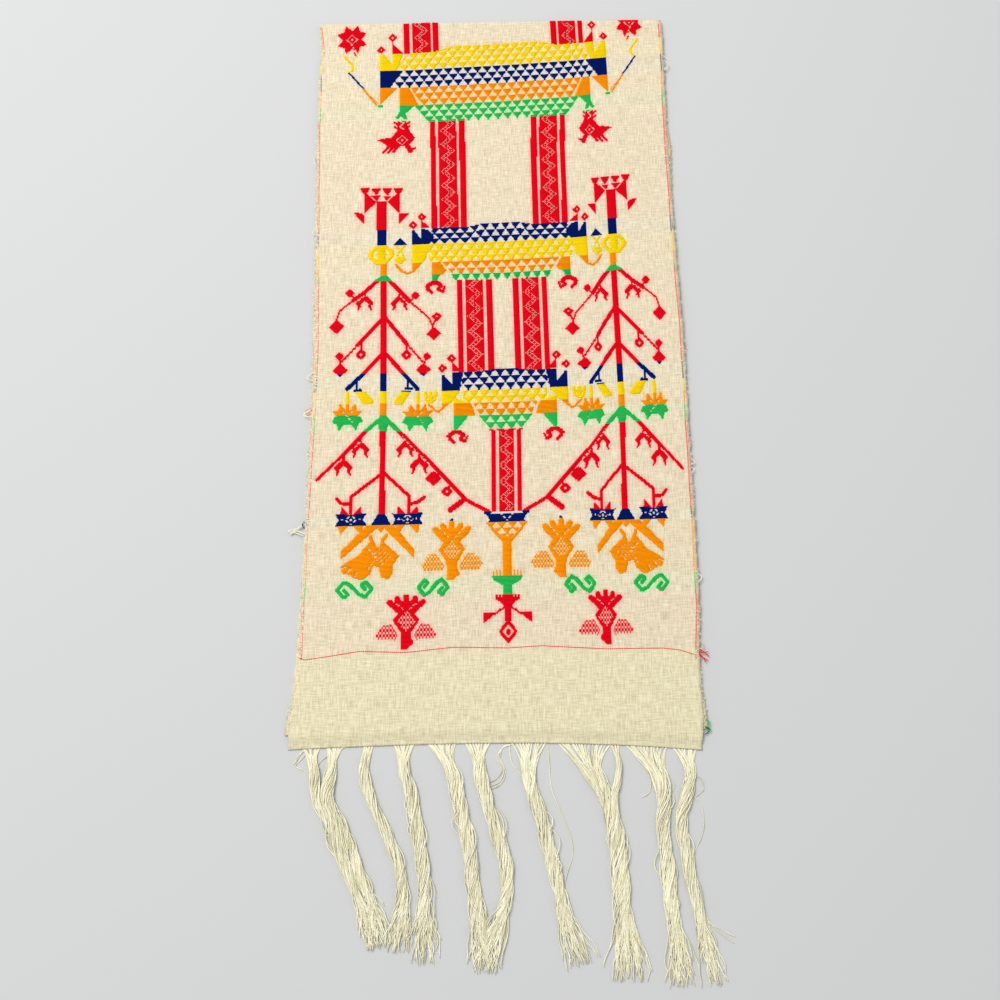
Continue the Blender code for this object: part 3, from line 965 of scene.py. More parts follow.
def chart_bird(chart):
    """A bird under the first roof: crest, body with an eye, tail, feathers and foot."""
    chart.shape((98.5, 337), (98.5, 348.4), (90, 348), (87, 337), (81, 327), (88.9, 316.8),
                (95, 319), (102, 315.5), (108, 318.5), (114, 323.6), (118.8, 326.4),
                (114, 328.0), (105, 328.8))
    for h in (106, 101, 96):
        chart.line(2.6, (h, 320.5), (h + 7, 311.8))
    chart.line(5.0, (89, 318.5), (86, 312))
    chart.line(2.2, (86, 313.5), (81, 315))
    for h, side in ((98.5, 1), (89.5, -1)):
        for b in (346.5, 341.5):
            chart.line(2.0, (h, b - 2.5), (h + 3.0 * side, b))
    chart.line(1.5, (96.8, 348), (92, 345.4), (96.5, 341.6), (92.2, 338), on=False)
    chart.diamond(94.4, 325.3, 6.2, on=False)
    chart.diamond(94.4, 325.3, 4.9)
    chart.diamond(94.4, 325.3, 1.5, on=False)


def diagonal(chart, top, start, step):
    """An edge that runs along the triangles' own diagonal, from a place at the top."""
    return start + step * (top - chart.weft) / RANK


def chart_first_band(chart):
    """The widest roof: four bands of triangles with stepped, solid ends."""
    chart.follow_weft(True)
    chart.shape((115.8, 409.6), (115.8, 430.3), (112, 430.3), (103.9, 418), (102.9, 418),
                (102.9, 430.3), (92, 430.3), (99, 409.6))
    chart.shape((115.8, 388.9), (115.8, 409.6), (92, 409.6), (106, 388.9))
    chart.shape((116, 388.9), (98, 388.9), (116, 368.5))
    chart.shape((96.1, 388.9), (86.4, 388.9), (76.8, 368.2), (96.1, 368.2))
    chart.shape((96.4, 368.2), (81, 368.2), (92.5, 357), (96.4, 356))
    chart.follow_weft(False)
    chart.shape((96.5, 359), (91.5, 359), (88.5, 350), (91.5, 349.6), (94.6, 354), (98, 350.4),
                (100.6, 351.8))
    chart.box(113, 118.5, 366, 368.2)
    arch = 430.3 + 5.6 * smoothstep((66 - chart.middle) / 22)
    chart.lattice(arch, 430.3, 1, 0, 64, "yellow")
    chart.lattice(430.3, 409.6, 3, 1, diagonal(chart, 430.3, 91, 5))
    chart.lattice(409.6, 388.9, 3, 0, diagonal(chart, 409.6, 95, 5))
    slanted = np.interp(chart.weft, (368.2, 388.9), (78.6, 88))
    chart.lattice(388.9, 368.2, 3, 1, slanted)
    chart.lattice(368.2, 347.5, 3, 0, diagonal(chart, 368.2, 85, -5), "green")
    chart.shape((102.9, 443.8), (102.9, 430), (92.3, 430))
    chart.line(1.6, (102.3, 446), (102.3, 442))
    chart.eye(102.4, 450.0, 5.0)
    chart.eye(114.5, 435.8, 4.6)


def chart_top(chart):
    chart_star(chart, 144.4, 450.6)
    chart_columns(chart, ((85.3, 90.9), (54.7, 60.8)), (63.3, 82.3), 430, 470)
    chart_first_band(chart)
    chart.line(1.8, (152, 429.5), (143.5, 419), (144.5, 411.5))
    chart.line(1.7, (148.3, 410.6), (132.8, 389))
    chart.line(1.4, (132.8, 388.6), (119.9, 368.8))
    chart.thread(1.2, (126, 380), (119, 371.5))
    chart_bird(chart)
    chart_columns(chart, ((60.5, 65.8), (30.7, 37.0)), (39.4, 57.8), 223.7, 349.4)


def chart_tree_crown(chart):
    """The tree's head: two wings under a row of four triangles, and two hooked leaves."""
    middle = 114.6
    for place in (-16.4, -5.4, 5.6, 16.6):
        h = middle + place
        top = 270.6 + 0.075 * place
        chart.shape((h - 4.9, top), (h + 4.9, top), (h + 4.7, top - 1.6), (h + 0.8, top - 7.6),
                    (h - 0.8, top - 7.6), (h - 4.7, top - 1.6))
    for side in (-1, 1):
        tilt = 0.9 * side
        chart.shape((middle + 17.4 * side, 267 + tilt), (middle + 12.8 * side, 262 + tilt),
                    (middle + 1.2 * side, 261.8 + tilt), (middle + 5.6 * side, 254.6),
                    (middle + 17.6 * side, 241.8 + tilt))
        chart.line(1.1, (middle + 11.6 * side, 262), (middle + 4.4 * side, 254.4), on=False)
    chart.shape((142.6, 244.6), (134, 243.2), (132.4, 240), (132.4, 230.8), (137, 236.4))
    chart.shape((87.4, 240.4), (95, 241.4), (98.2, 240.4), (98.4, 229.2), (92.8, 234.6))
    chart.box(110.3, 119.7, 223.7, 255.6)
    chart.box(110.3, 119.7, 205.5, 223.7)
    chart.shape((103.4, 205.5), (96.6, 213.2), (90.1, 205.5))


def chart_lemon(chart):
    """The round fruit on the trunk and the small figure beside it."""
    chart.shape((120.5, 205.5), (110, 205.5), (104, 200.5), (102.5, 195.8), (105, 191),
                (111, 184.9), (119.5, 184.9), (126, 191), (128.3, 196), (126, 201))
    for side in (-1, 1):
        chart.shape(*flip(115.2, 0, side, (3.3, 203), (8.2, 198.5), (8.2, 193.5), (3.3, 189),
                          (4.6, 196)), on=False)
    chart.thread(1.7, (101.5, 205), (97, 200), (99.5, 194))
    chart.thread(1.7, (92, 205), (96.5, 200), (94, 194))
    chart.shape((102.8, 189.5), (99.5, 192.5), (94, 192.5), (90.8, 189), (96.8, 184.4))
    chart.line(1.8, (101.5, 184.5), (95, 176.5), (89.9, 173.8), (84, 175.8), (77.4, 184))
    chart.box(110.4, 116.4, 171.6, 184.9)
    chart.shape((121, 167), (105.4, 167), (110, 172.8), (116, 172.8))


def chart_second_band(chart):
    chart.follow_weft(True)
    chart.shape((85.3, 205.5), (85.3, 222.4), (83, 222.4), (77.1, 213.1), (76.2, 213.1),
                (76.2, 223.7), (69.4, 222), (63, 213.4), (69.5, 205.5))
    chart.shape((85.3, 205.5), (69.5, 205.5), (71.8, 190), (85.3, 175.5))
    chart.shape((66.2, 184.9), (58.5, 184.9), (52, 177), (55, 172.8), (66.2, 172.8))
    chart.shape((66.4, 172.8), (57.4, 172.8), (61.3, 167.5), (66.4, 167.5))
    chart.follow_weft(False)
    top = 222.8 + 4.5 * smoothstep((38 - chart.middle) / 26)
    edge = np.interp(chart.weft, (205.5, 222.8), (70.5, 67.2))
    chart.lattice(top, 205.5, 3, 1, edge, "navy")
    chart.lattice(205.5, 184.9, 3, 0, 72 - 3 * smoothstep((195 - chart.weft) / 10))
    chart.lattice(184.9, 172.8, 2, 1, diagonal(chart, 184.9, 57, -5))
    chart.lattice(172.8, 166.9, 1, 1, 50, "green")
    chart.shape((76.2, 232.0), (76.2, 223), (67.4, 223))
    chart.eye(84, 226.8, 4.6)
    chart.eye(75.4, 235.6, 4.6)
    chart.crouching_beast(72.6, 164.4)
    chart_columns(chart, ((37.0, 41.9), (8.3, 13.6)), (16.7, 34.3), 69.1, 167.5)


def chart_tree(chart):
    """The trunk, its three pairs of branches and their fruits and claws."""
    chart.box(110.2, 115.7, -70.7, 168)
    chart.line(4.0, (118, 168.5), (131, 156), (142, 147.6))
    chart.thread(1.9, (142, 147.4), (150, 141.5), (155.5, 136), (157.8, 127))
    chart.line(4.0, (109, 168.5), (97, 155), (88, 143.6))
    chart.thread(1.9, (88, 143.6), (75, 131), (69, 124), (65.5, 115))
    chart.diamond(157.8, 120, 7.5)
    chart.diamond(64.9, 108.4, 7.0)
    chart.fruit(145.6, 155.6, 4.3, 140, 147.5)
    chart.fruit(82.2, 149.6, 4.0, 87, 143.6)
    chart.line(1.6, (61.7, 126.4), (65.5, 117.5))
    chart.eye(61.9, 126.2, 5.0)
    chart.claw(131.2, 144.4, 156)
    chart.claw(97.4, 143, 155)
    chart.thread(1.2, (128, 155), (138, 146.5), on=False)
    chart.thread(1.2, (99, 153), (90, 142), on=False)

    chart.line(3.9, (114, 127), (137.5, 99.8))
    chart.thread(2.2, (137.5, 99.8), (152.7, 83))
    chart.line(3.9, (111, 127), (90.6, 98.5))
    chart.thread(2.0, (90.6, 98.5), (75.5, 79.5))
    for h, b in ((134.3, 90), (91, 87.6)):
        chart.line(1.9, (h, 101), (h, b + 3))
        chart.ring(h, b, 5.0)
    chart.fruit(154.6, 88.8, 4.0, 153.4, 80)
    chart.fruit(71.6, 85, 3.8, 74.6, 77)
    chart.diamond(153.8, 74.2, 7.2)
    chart.diamond(75, 71.4, 7.0)

    chart.line(4.0, (114, 90), (130.7, 70.6), (146.5, 54.8))
    chart.line(4.0, (111, 90), (95, 69.4), (80.6, 51.6))
    for h in (137.6, 89.7):
        chart.line(2.2, (h, 62), (h, 53.5))
        chart.line(2.5, (h + 2.4, 52.8), (h - 3.8, 52.8))


def chart_lilies(chart):
    """Leaves, lilies and a small open flower under the third pair of branches."""
    chart.shape((138.6, 51), (129.6, 51), (121.8, 40.6), (123, 38.6), (131.8, 38.6))
    chart.shape((86.4, 50.4), (95.4, 50.4), (103.2, 39.4), (102, 37.2), (94.6, 37.2))
    chart.lily(146, 26.6)
    chart.lily(80.4, 23.8)
    chart.shape((74.3, 45), (62.4, 45), (62.4, 41), (66, 36.8), (71, 36.8), (74.3, 41))
    for h in (73.4, 68.4, 63.4):
        chart.box(h - 1.2, h + 1.2, 44, 49)
    chart.thread(1.3, (71.5, 42), (68.4, 38.5), (65, 42), on=False)
    chart.line(1.7, (70.5, 36), (61.7, 27.4), (52.7, 36.5))


def chart_third_band(chart):
    chart.follow_weft(True)
    chart.shape((57.8, 51), (57.8, 67.3), (56, 67.3), (48.7, 57.9), (47.8, 57.9), (47.8, 69.1),
                (37.5, 69.1), (41, 51))
    chart.shape((57.8, 51), (41, 51), (46.8, 42), (57.8, 32.5))
    chart.shape((46.4, 43.6), (37, 40), (31.0, 38.5), (26, 26.3), (46.4, 26.3))
    chart.shape((46.5, 26.3), (33.4, 26.3), (43.6, 12), (46.5, 12))
    chart.follow_weft(False)
    top = 69.1 + 2.0 * smoothstep((24 - chart.middle) / 14)
    edge = np.interp(chart.weft, (51, 69.1), (43, 39))
    chart.lattice(top, 51, 3, 1, edge, "navy")
    chart.lattice(51, 38.5, 2, 0, 40)
    chart.lattice(38.5, 26.3, 2, 0, diagonal(chart, 38.5, 31, -4))
    chart.lattice(26.3, 10.5, 2, 0, diagonal(chart, 26.3, 25, -5))
    chart.shape((48.2, 78), (48.2, 68), (39.4, 68))
    chart.eye(57.2, 71.8, 4.6)
    chart.eye(48.2, 81.6, 4.6)
    chart.crouching_beast(53.2, 9.2)
    chart.bar(10, 14, -70.7, 10.5)
    chart.bar(0, 7, -70.7, 10.5)


def chart_lower_tree(chart):
    chart.shape((112.9, 27), (118, 20), (116, 10), (109.5, 10), (107.5, 20))
    chart.line(3.6, (114, 24), (127.8, 11.8), (148.8, -11.2))
    chart.line(2.8, (148.8, -11.2), (172.8, -35.6))
    chart.line(4.0, (111.5, 24), (98.9, 10.6), (66.3, -25.5), (37.2, -59))
    chart.line(3.2, (37.2, -59), (27, -65.5), (16, -72))
    for h, b, top in ((133.6, -7.2, 5), (148.8, -24.4, -11), (91.8, -8, 1), (79.0, -25, -11)):
        chart.claw(h, b, top)
    chart.thread(1.3, (131, 3), (142, -8), on=False)
    chart.thread(1.3, (95, 4), (70, -24), on=False)
    chart.diamond(66.0, -38, 7.6)
    chart.line(2.2, (60, -33), (66, -38))
    chart.line(2.0, (50, -43), (53.6, -50.8))
    chart.ring(53.6, -51, 5.0)
    chart.line(5.0, (39.4, -60.6), (50.6, -69))
    chart.line(3.0, (113.3, -31.5), (140.9, -53), (141, -70))
    chart.line(3.0, (111, -31.5), (88.4, -54.4), (88.8, -71))
    chart.line(3.2, (154, -55), (150, -59.4), (141, -60.6))
    chart.line(3.2, (88, -62), (80.5, -60.6), (74.5, -56))


def chart_flower_feet(chart):
    """The navy flowers and foot below the tree, and the petals under them."""
    for h, b in ((141.0, -75.4), (89.5, -76.4)):
        flower = flip(h, b, 1, (-14.2, 5.8), (0, 4.6), (14.2, 5.8), (11, 0), (14.2, -5.6),
                      (-14.2, -5.6), (-11, 0))
        for side in (-1, 1):
            chart.shape(*flip(h, b, side, (1.6, 4.6), (9.8, 5), (8.8, 13)))
            chart.shape(*flip(h, b, side, (2.5, -5.6), (10.8, -5.6), (10.6, -9), (9, -14)))
        chart.shape(*flower)
        chart.dye(chart.inside(flower), "navy")
        for side in (-1, 1):
            chart.thread(1.2, (h, b + 4), (h + 5.4 * side, b), (h, b - 4), on=False)
            chart.diamond(h + 8 * side, b, 1.2, on=False)
        chart.diamond(h, b, 1.5, on=False)
    chart.shape((116.6, -70.7), (110, -70.7), (104.8, -81.1), (122.4, -81.1))
    chart.shape((19, -73.5), (0, -73.5), (0, -81.1), (15.5, -81.1))
    chart.box(14.6, 21, -73.5, -70.7)
    chart.thread(1.3, (0, -80), (5.5, -74), on=False)


def chart_orange_rows(chart):
    """The roofed beast beside the crowned bird, and the funnel in the middle."""
    chart.shape((126, -81.1), (114, -81.1), (149.8, -113), (149.8, -105.5))
    chart.shape((102.5, -81.1), (113.5, -81.1), (83.3, -113), (83.3, -105.5))
    chart.shape((123.5, -97), (119, -102), (115, -102), (111, -97.5), (96.8, -111), (103, -119.5),
                (103, -127), (106, -132.2), (112.6, -131), (115, -121), (120, -119),
                (123, -127), (129, -132.2), (136.5, -131), (141, -127), (147, -126.4),
                (150, -120), (145, -116.4), (140.6, -113.6), (134, -110))
    chart.shape((119, -81.1), (108.5, -81.1), (113.5, -88.6))
    chart.line(3.2, (119, -102), (121.6, -96), (123.2, -91.8))
    chart.line(3.2, (112.5, -100), (111.4, -95), (108.6, -91.4))
    chart.line(1.1, (150, -121.6), (143.5, -119.4), on=False)
    chart.line(1.1, (145.5, -127), (139.5, -121.4), on=False)
    chart.line(1.1, (137.5, -132), (134, -124), on=False)
    for i in range(5):
        chart.thread(1.1, (113.5 - 2.2 * i, -102.5 - 2.1 * i), (121.5 - 2.2 * i, -110.5 - 2.1 * i),
                     on=False)
    chart.thread(1.2, (126, -101.5), (118, -112), (124, -122), on=False)
    chart.thread(1.2, (110, -95.5), (100, -106.5), on=False)
    chart.crowned_figure(49.4, -79.6, 1.0)
    chart.dye(chart.between(30, 66, -100, -79) | chart.between(44, 54.4, -135.4, -100), "orange")
    chart.diamond(49.2, -78.6, 1.9)
    edge = np.interp(chart.b, (-98.8, -81.1), (4.4, 18.8))
    chart.lattice(-81.1, -98.4, 3, 1, edge - 2.2)
    chart.line(2.2, (17.8, -82.4), (4.0, -98.8))
    chart.box(0, 17, -82.4, -81.1)
    chart.box(0, 4.5, -132.6, -96)
    for h in (6.8, 9.6, 12.4):
        chart.box(h - 0.7, h + 0.7, -132.6, -127)


def chart_end(chart):
    """The green scrolls and cup, and the last red row of figures."""
    chart.scroll(136.3, -141.2, 0.96)
    chart.scroll(66.2, -141.0, -0.80)
    chart.shape((13.9, -132.6), (0, -132.6), (0, -149.2), (4.4, -149.2), (4.4, -140.5),
                (12, -136.4))
    chart.box(0, 11.4, -153, -149.2)
    for h in (5.4, 8.6):
        chart.box(h - 0.7, h + 0.7, -151.6, -149, on=False)
    chart.shape((11.4, -153), (0, -153), (0, -160), (2.8, -160), (6.8, -155.5))
    chart.box(0, 2.9, -174, -158)
    chart.thread(1.9, (3, -160.5), (17, -170))
    chart.shape((21.5, -165), (13, -165.2), (13.4, -167.4), (21.5, -175))
    away = 1.28 * np.abs(chart.h) + np.abs(chart.b + 182.8)
    chart.on[away < 11.2] = True
    chart.on[(away > 3.6) & (away < 6.8)] = False
    before = chart.on.copy()
    chart.crowned_figure(90.0, -146.5, 0.90)
    chart.dye(chart.on & ~before, "red")


def draw_chart():
    chart = Chart()
    chart_top(chart)
    chart_tree_crown(chart)
    chart_lemon(chart)
    chart_second_band(chart)
    chart_tree(chart)
    chart_lilies(chart)
    chart_third_band(chart)
    chart_lower_tree(chart)
    chart_flower_feet(chart)
    chart_orange_rows(chart)
    chart_end(chart)
    return chart


class Tubes:
    """Collects thin closed tubes and makes one mesh of them."""

    def __init__(self, sides=TUBE_SIDES):
        self.sides = sides
        self.points = []
        self.across = []
        self.up = []
        self.halves = []
        self.counts = []

    def add(self, points, across, up, halves):
        """One tube: its points, the way across and up at each, and half its width and height."""
        self.points.append(points)
        self.across.append(across)
        self.up.append(up)
        self.halves.append(halves)
        self.counts.append(len(points))

    def add_thread(self, points, radius):
        """A round thread along points, thinner at its two ends."""
        points = np.asarray(points, float)
        ahead = np.gradient(points, axis=0)
        ahead /= np.linalg.norm(ahead, axis=1, keepdims=True) + LEAST_LENGTH
        across = np.cross((0.0, 0.0, 1.0), ahead)
        across /= np.linalg.norm(across, axis=1, keepdims=True) + LEAST_LENGTH
        up = np.cross(ahead, across)
        halves = np.full((len(points), 2), radius)
        halves[[0, -1]] *= TUBE_END
        self.add(points, across, up, halves)

    def mesh(self, name):
        points = np.concatenate(self.points)
        across = np.concatenate(self.across)
        up = np.concatenate(self.up)
        halves = np.concatenate(self.halves)
        counts = np.array(self.counts)
        sides = self.sides
        angles = 2 * math.pi * np.arange(sides) / sides + math.pi / 2
        wide = halves[:, None, 0, None] * np.cos(angles)[None, :, None]
        high = halves[:, None, 1, None] * np.sin(angles)[None, :, None]
        rings = points[:, None] + across[:, None] * wide + up[:, None] * high

        ends = np.cumsum(counts) - 1
        starts = ends - counts + 1
        firsts = np.setdiff1d(np.arange(len(points)), ends)
        side = np.arange(sides)
        following = (side + 1) % sides
        low = firsts[:, None] * sides
        quads = np.stack(
            [low + side, low + following, low + sides + following, low + sides + side], axis=-1
        ).reshape(-1, 4)
        caps = np.concatenate([starts[:, None] * sides + side[::-1], ends[:, None] * sides + side])

        steps = np.linalg.norm(np.diff(points, axis=0, prepend=points[:1]), axis=1)
        steps[starts] = TONE_STEP
        along = np.cumsum(steps)
        u = along[firsts][:, None] + 0 * side
        u_next = along[firsts + 1][:, None] + 0 * side
        v = side / sides + 0 * u
        quad_u = np.stack([u, u, u_next, u_next], axis=-1).reshape(-1)
        quad_v = np.stack([v, v + 1 / sides, v + 1 / sides, v], axis=-1).reshape(-1)
        uv = np.zeros((len(quad_u) + caps.size, 2))
        uv[: len(quad_u), 0] = quad_u
        uv[: len(quad_u), 1] = quad_v

        mesh = bpy.data.meshes.new(name)
        mesh.from_pydata(rings.reshape(-1, 3).tolist(), [], quads.tolist() + caps.tolist())
        mesh.uv_layers.new(name="yarn").data.foreach_set("uv", uv.reshape(-1))
        mesh.shade_smooth()
        return mesh


def add_object(name, mesh, material):
    mesh.materials.append(material)
    piece = bpy.data.objects.new(name, mesh)
    bpy.context.scene.collection.objects.link(piece)
    return piece


def ride_frame(piece, slot, node=None):
    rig.ride(piece, "root")
    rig.slot(piece, slot)
    if node:
        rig.replaces(piece, node)
    return piece


def new_node(tree, kind, links=(), **values):
    """A node with some of its settings and inputs set, and links from other sockets."""
    node = tree.nodes.new(kind)
    for name, value in values.items():
        setattr(node, name, value)
    for name, source in dict(links).items():
        if hasattr(source, "links"):
            tree.links.new(source, node.inputs[name])
        else:
            node.inputs[name].default_value = source
    return node


def math_node(tree, operation, first, second=0.0, third=0.0):
    node = new_node(tree, "ShaderNodeMath", {0: first, 1: second, 2: third}, operation=operation)
    return node.outputs[0]


def new_group(name, inputs, outputs):
    """A shader node group with its sockets, and the nodes of its inputs and its outputs."""
    tree = bpy.data.node_groups.new(name, "ShaderNodeTree")
    for socket, kind, value in inputs:
        item = tree.interface.new_socket(socket, in_out="INPUT", socket_type=kind)
        if value is not None:
            item.default_value = value
    for socket, kind in outputs:
        tree.interface.new_socket(socket, in_out="OUTPUT", socket_type=kind)
    return tree, tree.nodes.new("NodeGroupInput"), tree.nodes.new("NodeGroupOutput")


def tabby_group():
    """Plain weave: bumps of warp and weft, a mask of the small holes between that the cloth darkens with painted
    shade, and uneven yarns.
    """
    tree, given, result = new_group(
        "Tabby weave",
        (
            ("Flat Place", "NodeSocketVector", None),
            ("Warp Pitch", "NodeSocketFloat", 0.00105),
            ("Weft Pitch", "NodeSocketFloat", 0.00115),
        ),
        (
            ("Height", "NodeSocketFloat"),
            ("Hole", "NodeSocketFloat"),
            ("Streak", "NodeSocketFloat"),
            ("Speck", "NodeSocketFloat"),
        ),
    )
    place = new_node(tree, "ShaderNodeSeparateXYZ", {0: given.outputs["Flat Place"]})
    waves = []
    for axis, pitch in ((0, "Warp Pitch"), (1, "Weft Pitch")):
        turns = math_node(tree, "DIVIDE", place.outputs[axis], given.outputs[pitch])
        angle = math_node(tree, "MULTIPLY", turns, math.pi)
        waves.append(math_node(tree, "SINE", angle))
    both = math_node(tree, "MULTIPLY", waves[0], waves[1])
    height = math_node(tree, "MULTIPLY_ADD", both, 0.5, 0.5)
    holes = []
    for item in waves:
        crest = math_node(tree, "ABSOLUTE", item)
        holes.append(math_node(tree, "POWER", math_node(tree, "SUBTRACT", 1.0, crest), 1.6))
    hole = math_node(tree, "MULTIPLY", holes[0], holes[1])

    streaks = []
    for scale in ((880.0, 85.0, 1.0), (95.0, 820.0, 1.0)):
        stretched = new_node(
            tree, "ShaderNodeVectorMath", {0: given.outputs["Flat Place"], 1: scale},
            operation="MULTIPLY",
        )
        noise = new_node(
            tree, "ShaderNodeTexNoise",
            {"Vector": stretched.outputs[0], "Scale": 1.0, "Detail": 2.0, "Roughness": 0.6},
        )
        streaks.append(noise.outputs[0])
    streak = math_node(tree, "MULTIPLY_ADD", streaks[0], 0.55, 0.0)
    streak = math_node(tree, "MULTIPLY_ADD", streaks[1], 0.45, streak)
    cells = new_node(
        tree, "ShaderNodeTexVoronoi",
        {"Vector": given.outputs["Flat Place"], "Scale": 75.0, "Randomness": 1.0},
    )
    near = math_node(tree, "LESS_THAN", cells.outputs["Distance"], 0.035)
    chosen = new_node(tree, "ShaderNodeSeparateColor", {0: cells.outputs["Color"]})
    rare = math_node(tree, "GREATER_THAN", chosen.outputs[0], 0.72)
    speck = math_node(tree, "MULTIPLY", near, rare)
    for name, socket in (("Height", height), ("Hole", hole), ("Streak", streak), ("Speck", speck)):
        tree.links.new(socket, result.inputs[name])
    return tree


def twist_group():
    """A yarn's twist: slanting ridges along it, and an uneven tone."""
    tree, given, result = new_group(
        "Yarn twist",
        (
            ("Yarn Place", "NodeSocketVector", None),
            ("Twist Pitch", "NodeSocketFloat", 0.0022),
            ("Tone Pitch", "NodeSocketFloat", 0.045),
        ),
        (("Ridge", "NodeSocketFloat"), ("Tone", "NodeSocketFloat")),
    )
    place = new_node(tree, "ShaderNodeSeparateXYZ", {0: given.outputs["Yarn Place"]})
    turns = math_node(tree, "DIVIDE", place.outputs[0], given.outputs["Twist Pitch"])
    plies = math_node(tree, "MULTIPLY_ADD", place.outputs[1], 2.0, turns)
    wave_socket = math_node(tree, "SINE", math_node(tree, "MULTIPLY", plies, 2 * math.pi))
    ridge = math_node(tree, "MULTIPLY_ADD", wave_socket, 0.5, 0.5)
    stretched = math_node(tree, "DIVIDE", place.outputs[0], given.outputs["Tone Pitch"])
    noise = new_node(
        tree, "ShaderNodeTexNoise", {"W": stretched, "Scale": 1.0, "Detail": 2.0},
        noise_dimensions="1D",
    )
    tree.links.new(ridge, result.inputs["Ridge"])
    tree.links.new(noise.outputs[0], result.inputs["Tone"])
    return tree


def blend_colour(tree, share, first, second, blend="MIX"):
    """Mix two colours; either may be a socket or a colour of three parts."""
    node = tree.nodes.new("ShaderNodeMix")
    node.data_type = "RGBA"
    node.blend_type = blend
    inputs = node.inputs
    for socket, value in ((inputs[0], share), (inputs[6], first), (inputs[7], second)):
        if hasattr(value, "links"):
            tree.links.new(value, socket)
        elif isinstance(value, tuple):
            socket.default_value = (*value, 1.0)
        else:
            socket.default_value = value
    return node.outputs[2]


def fabric_material(name, roughness, sheen):
    material = bpy.data.materials.new(name)
    material.use_nodes = True
    shader = material.node_tree.nodes["Principled BSDF"]
    shader.inputs["Roughness"].default_value = roughness
    shader.inputs["Sheen Weight"].default_value = sheen
    shader.inputs["Sheen Roughness"].default_value = 0.5
    shader.inputs["Specular IOR Level"].default_value = 0.02
    return material, material.node_tree, shader


def cloth_material():
    material, tree, shader = fabric_material("cotton_cloth_woven", 0.95, 0.03)
    flat = new_node(tree, "ShaderNodeUVMap", uv_map="flat")
    weave = tree.nodes.new("ShaderNodeGroup")
    weave.node_tree = tabby_group()
    tree.links.new(flat.outputs[0], weave.inputs["Flat Place"])
    tone = new_node(
        tree, "ShaderNodeMapRange",
        {"Value": weave.outputs["Streak"], "From Min": 0.33, "From Max": 0.62},
    )
    colour = blend_colour(tree, tone.outputs[0], CREAM_SHADE, CREAM)
    tint = new_node(tree, "ShaderNodeAttribute", attribute_name="tint")
    colour = blend_colour(tree, 1.0, colour, tint.outputs["Color"], "MULTIPLY")
    # The weave's small holes are darkened with painted shade; the specks are the cotton's own dark flecks
    for mark, most, dark in (
        ("Hole", HOLE_SHADE_SHARE, HOLE_SHADE_COLOUR), ("Speck", SPECK_SHARE, SPECK_COLOUR),
    ):
        share = math_node(tree, "MULTIPLY", weave.outputs[mark], most)
        colour = blend_colour(tree, share, colour, dark)
    tree.links.new(colour, shader.inputs["Base Color"])
    bump = new_node(
        tree, "ShaderNodeBump",
        {"Height": weave.outputs["Height"], "Strength": 0.5, "Distance": 0.0003},
    )
    tree.links.new(bump.outputs[0], shader.inputs["Normal"])
    return material


def yarn_material(name, colour, shade, twist, roughness=0.9, sheen=0.0):
    material, tree, shader = fabric_material(name, roughness, sheen)
    place = new_node(tree, "ShaderNodeUVMap", uv_map="yarn")
    group = tree.nodes.new("ShaderNodeGroup")
    group.node_tree = twist
    tree.links.new(place.outputs[0], group.inputs["Yarn Place"])
    tone = new_node(
        tree, "ShaderNodeMapRange",
        {"Value": group.outputs["Tone"], "From Min": 0.30, "From Max": 0.62},
    )
    base = blend_colour(tree, tone.outputs[0], shade, colour)
    # Painted shade in the grooves of the twist: between the ridges the colour darkens towards the shade colour
    groove_shade = math_node(tree, "MULTIPLY_ADD", group.outputs["Ridge"], -0.22, 0.22)
    base = blend_colour(tree, groove_shade, base, shade)
    tree.links.new(base, shader.inputs["Base Color"])
    bump = new_node(
        tree, "ShaderNodeBump",
        {"Height": group.outputs["Ridge"], "Strength": 0.5, "Distance": 0.00012},
    )
    tree.links.new(bump.outputs[0], shader.inputs["Normal"])
    return material


# One row of the folded section: its layer's sides, its place, how far it follows the folds' skew
# and the near edge's bow, the height of its wave, and whether it is part of the upper layer
Row = namedtuple("Row", "sides y z skew bow wave top")


def fold_rows(sides, fold_y, low_z, high_z, outward):
    """The half ring between two layers, from the lower one to the upper one."""
    radius = (high_z - low_z) / 2
    rows = []
    for i in range(1, FOLD_ROWS):
        angle = math.pi * (i / FOLD_ROWS - 0.5)
        y = fold_y + outward * radius * math.cos(angle)
        z = low_z + radius * (1 + math.sin(angle))
        rows.append(Row(sides, y, z, 1.0, 0.0, 0.0, False))
    return rows


def cloth_rows():
    """The whole back-and-forth section, from the hidden end to the end that shows."""
    rows = []
    for share in np.linspace(0, 1, BOTTOM_ROWS):
        y = mix(HIDDEN_END_Y, NEAR_FOLD_Y, share)
        rows.append(Row(BOTTOM_SIDES, y, BOTTOM_Z, share, 0.0, 0.0, False))
    rows += fold_rows(BOTTOM_SIDES, NEAR_FOLD_Y, BOTTOM_Z, MIDDLE_Z, -1)
    for y in np.linspace(NEAR_FOLD_Y, FAR_FOLD_Y, MIDDLE_ROWS):
        rows.append(Row(MIDDLE_SIDES, y, MIDDLE_Z, 1.0, 0.0, MIDDLE_WAVE, False))
    rows += fold_rows(TOP_SIDES, FAR_FOLD_Y, MIDDLE_Z, TOP_Z + FAR_FOLD_PUFF, 1)
    flat = np.linspace(FAR_FOLD_Y, DESCENT_START_Y, TOP_ROWS, endpoint=False)
    down = np.linspace(DESCENT_START_Y, NEAR_EDGE_Y, DESCENT_ROWS + 1)
    for y in [*flat, *down]:
        rows.append(Row(TOP_SIDES, y, 0.0, 0.0, 0.0, 0.0, True))
    return rows


def edge_wobble(row_y, seed):
    """The small unevenness of a selvedge."""
    waves = [size * np.sin(pace * row_y + start * seed) for size, pace, start in EDGE_WAVES]
    return EDGE_UNEVEN * sum(waves)


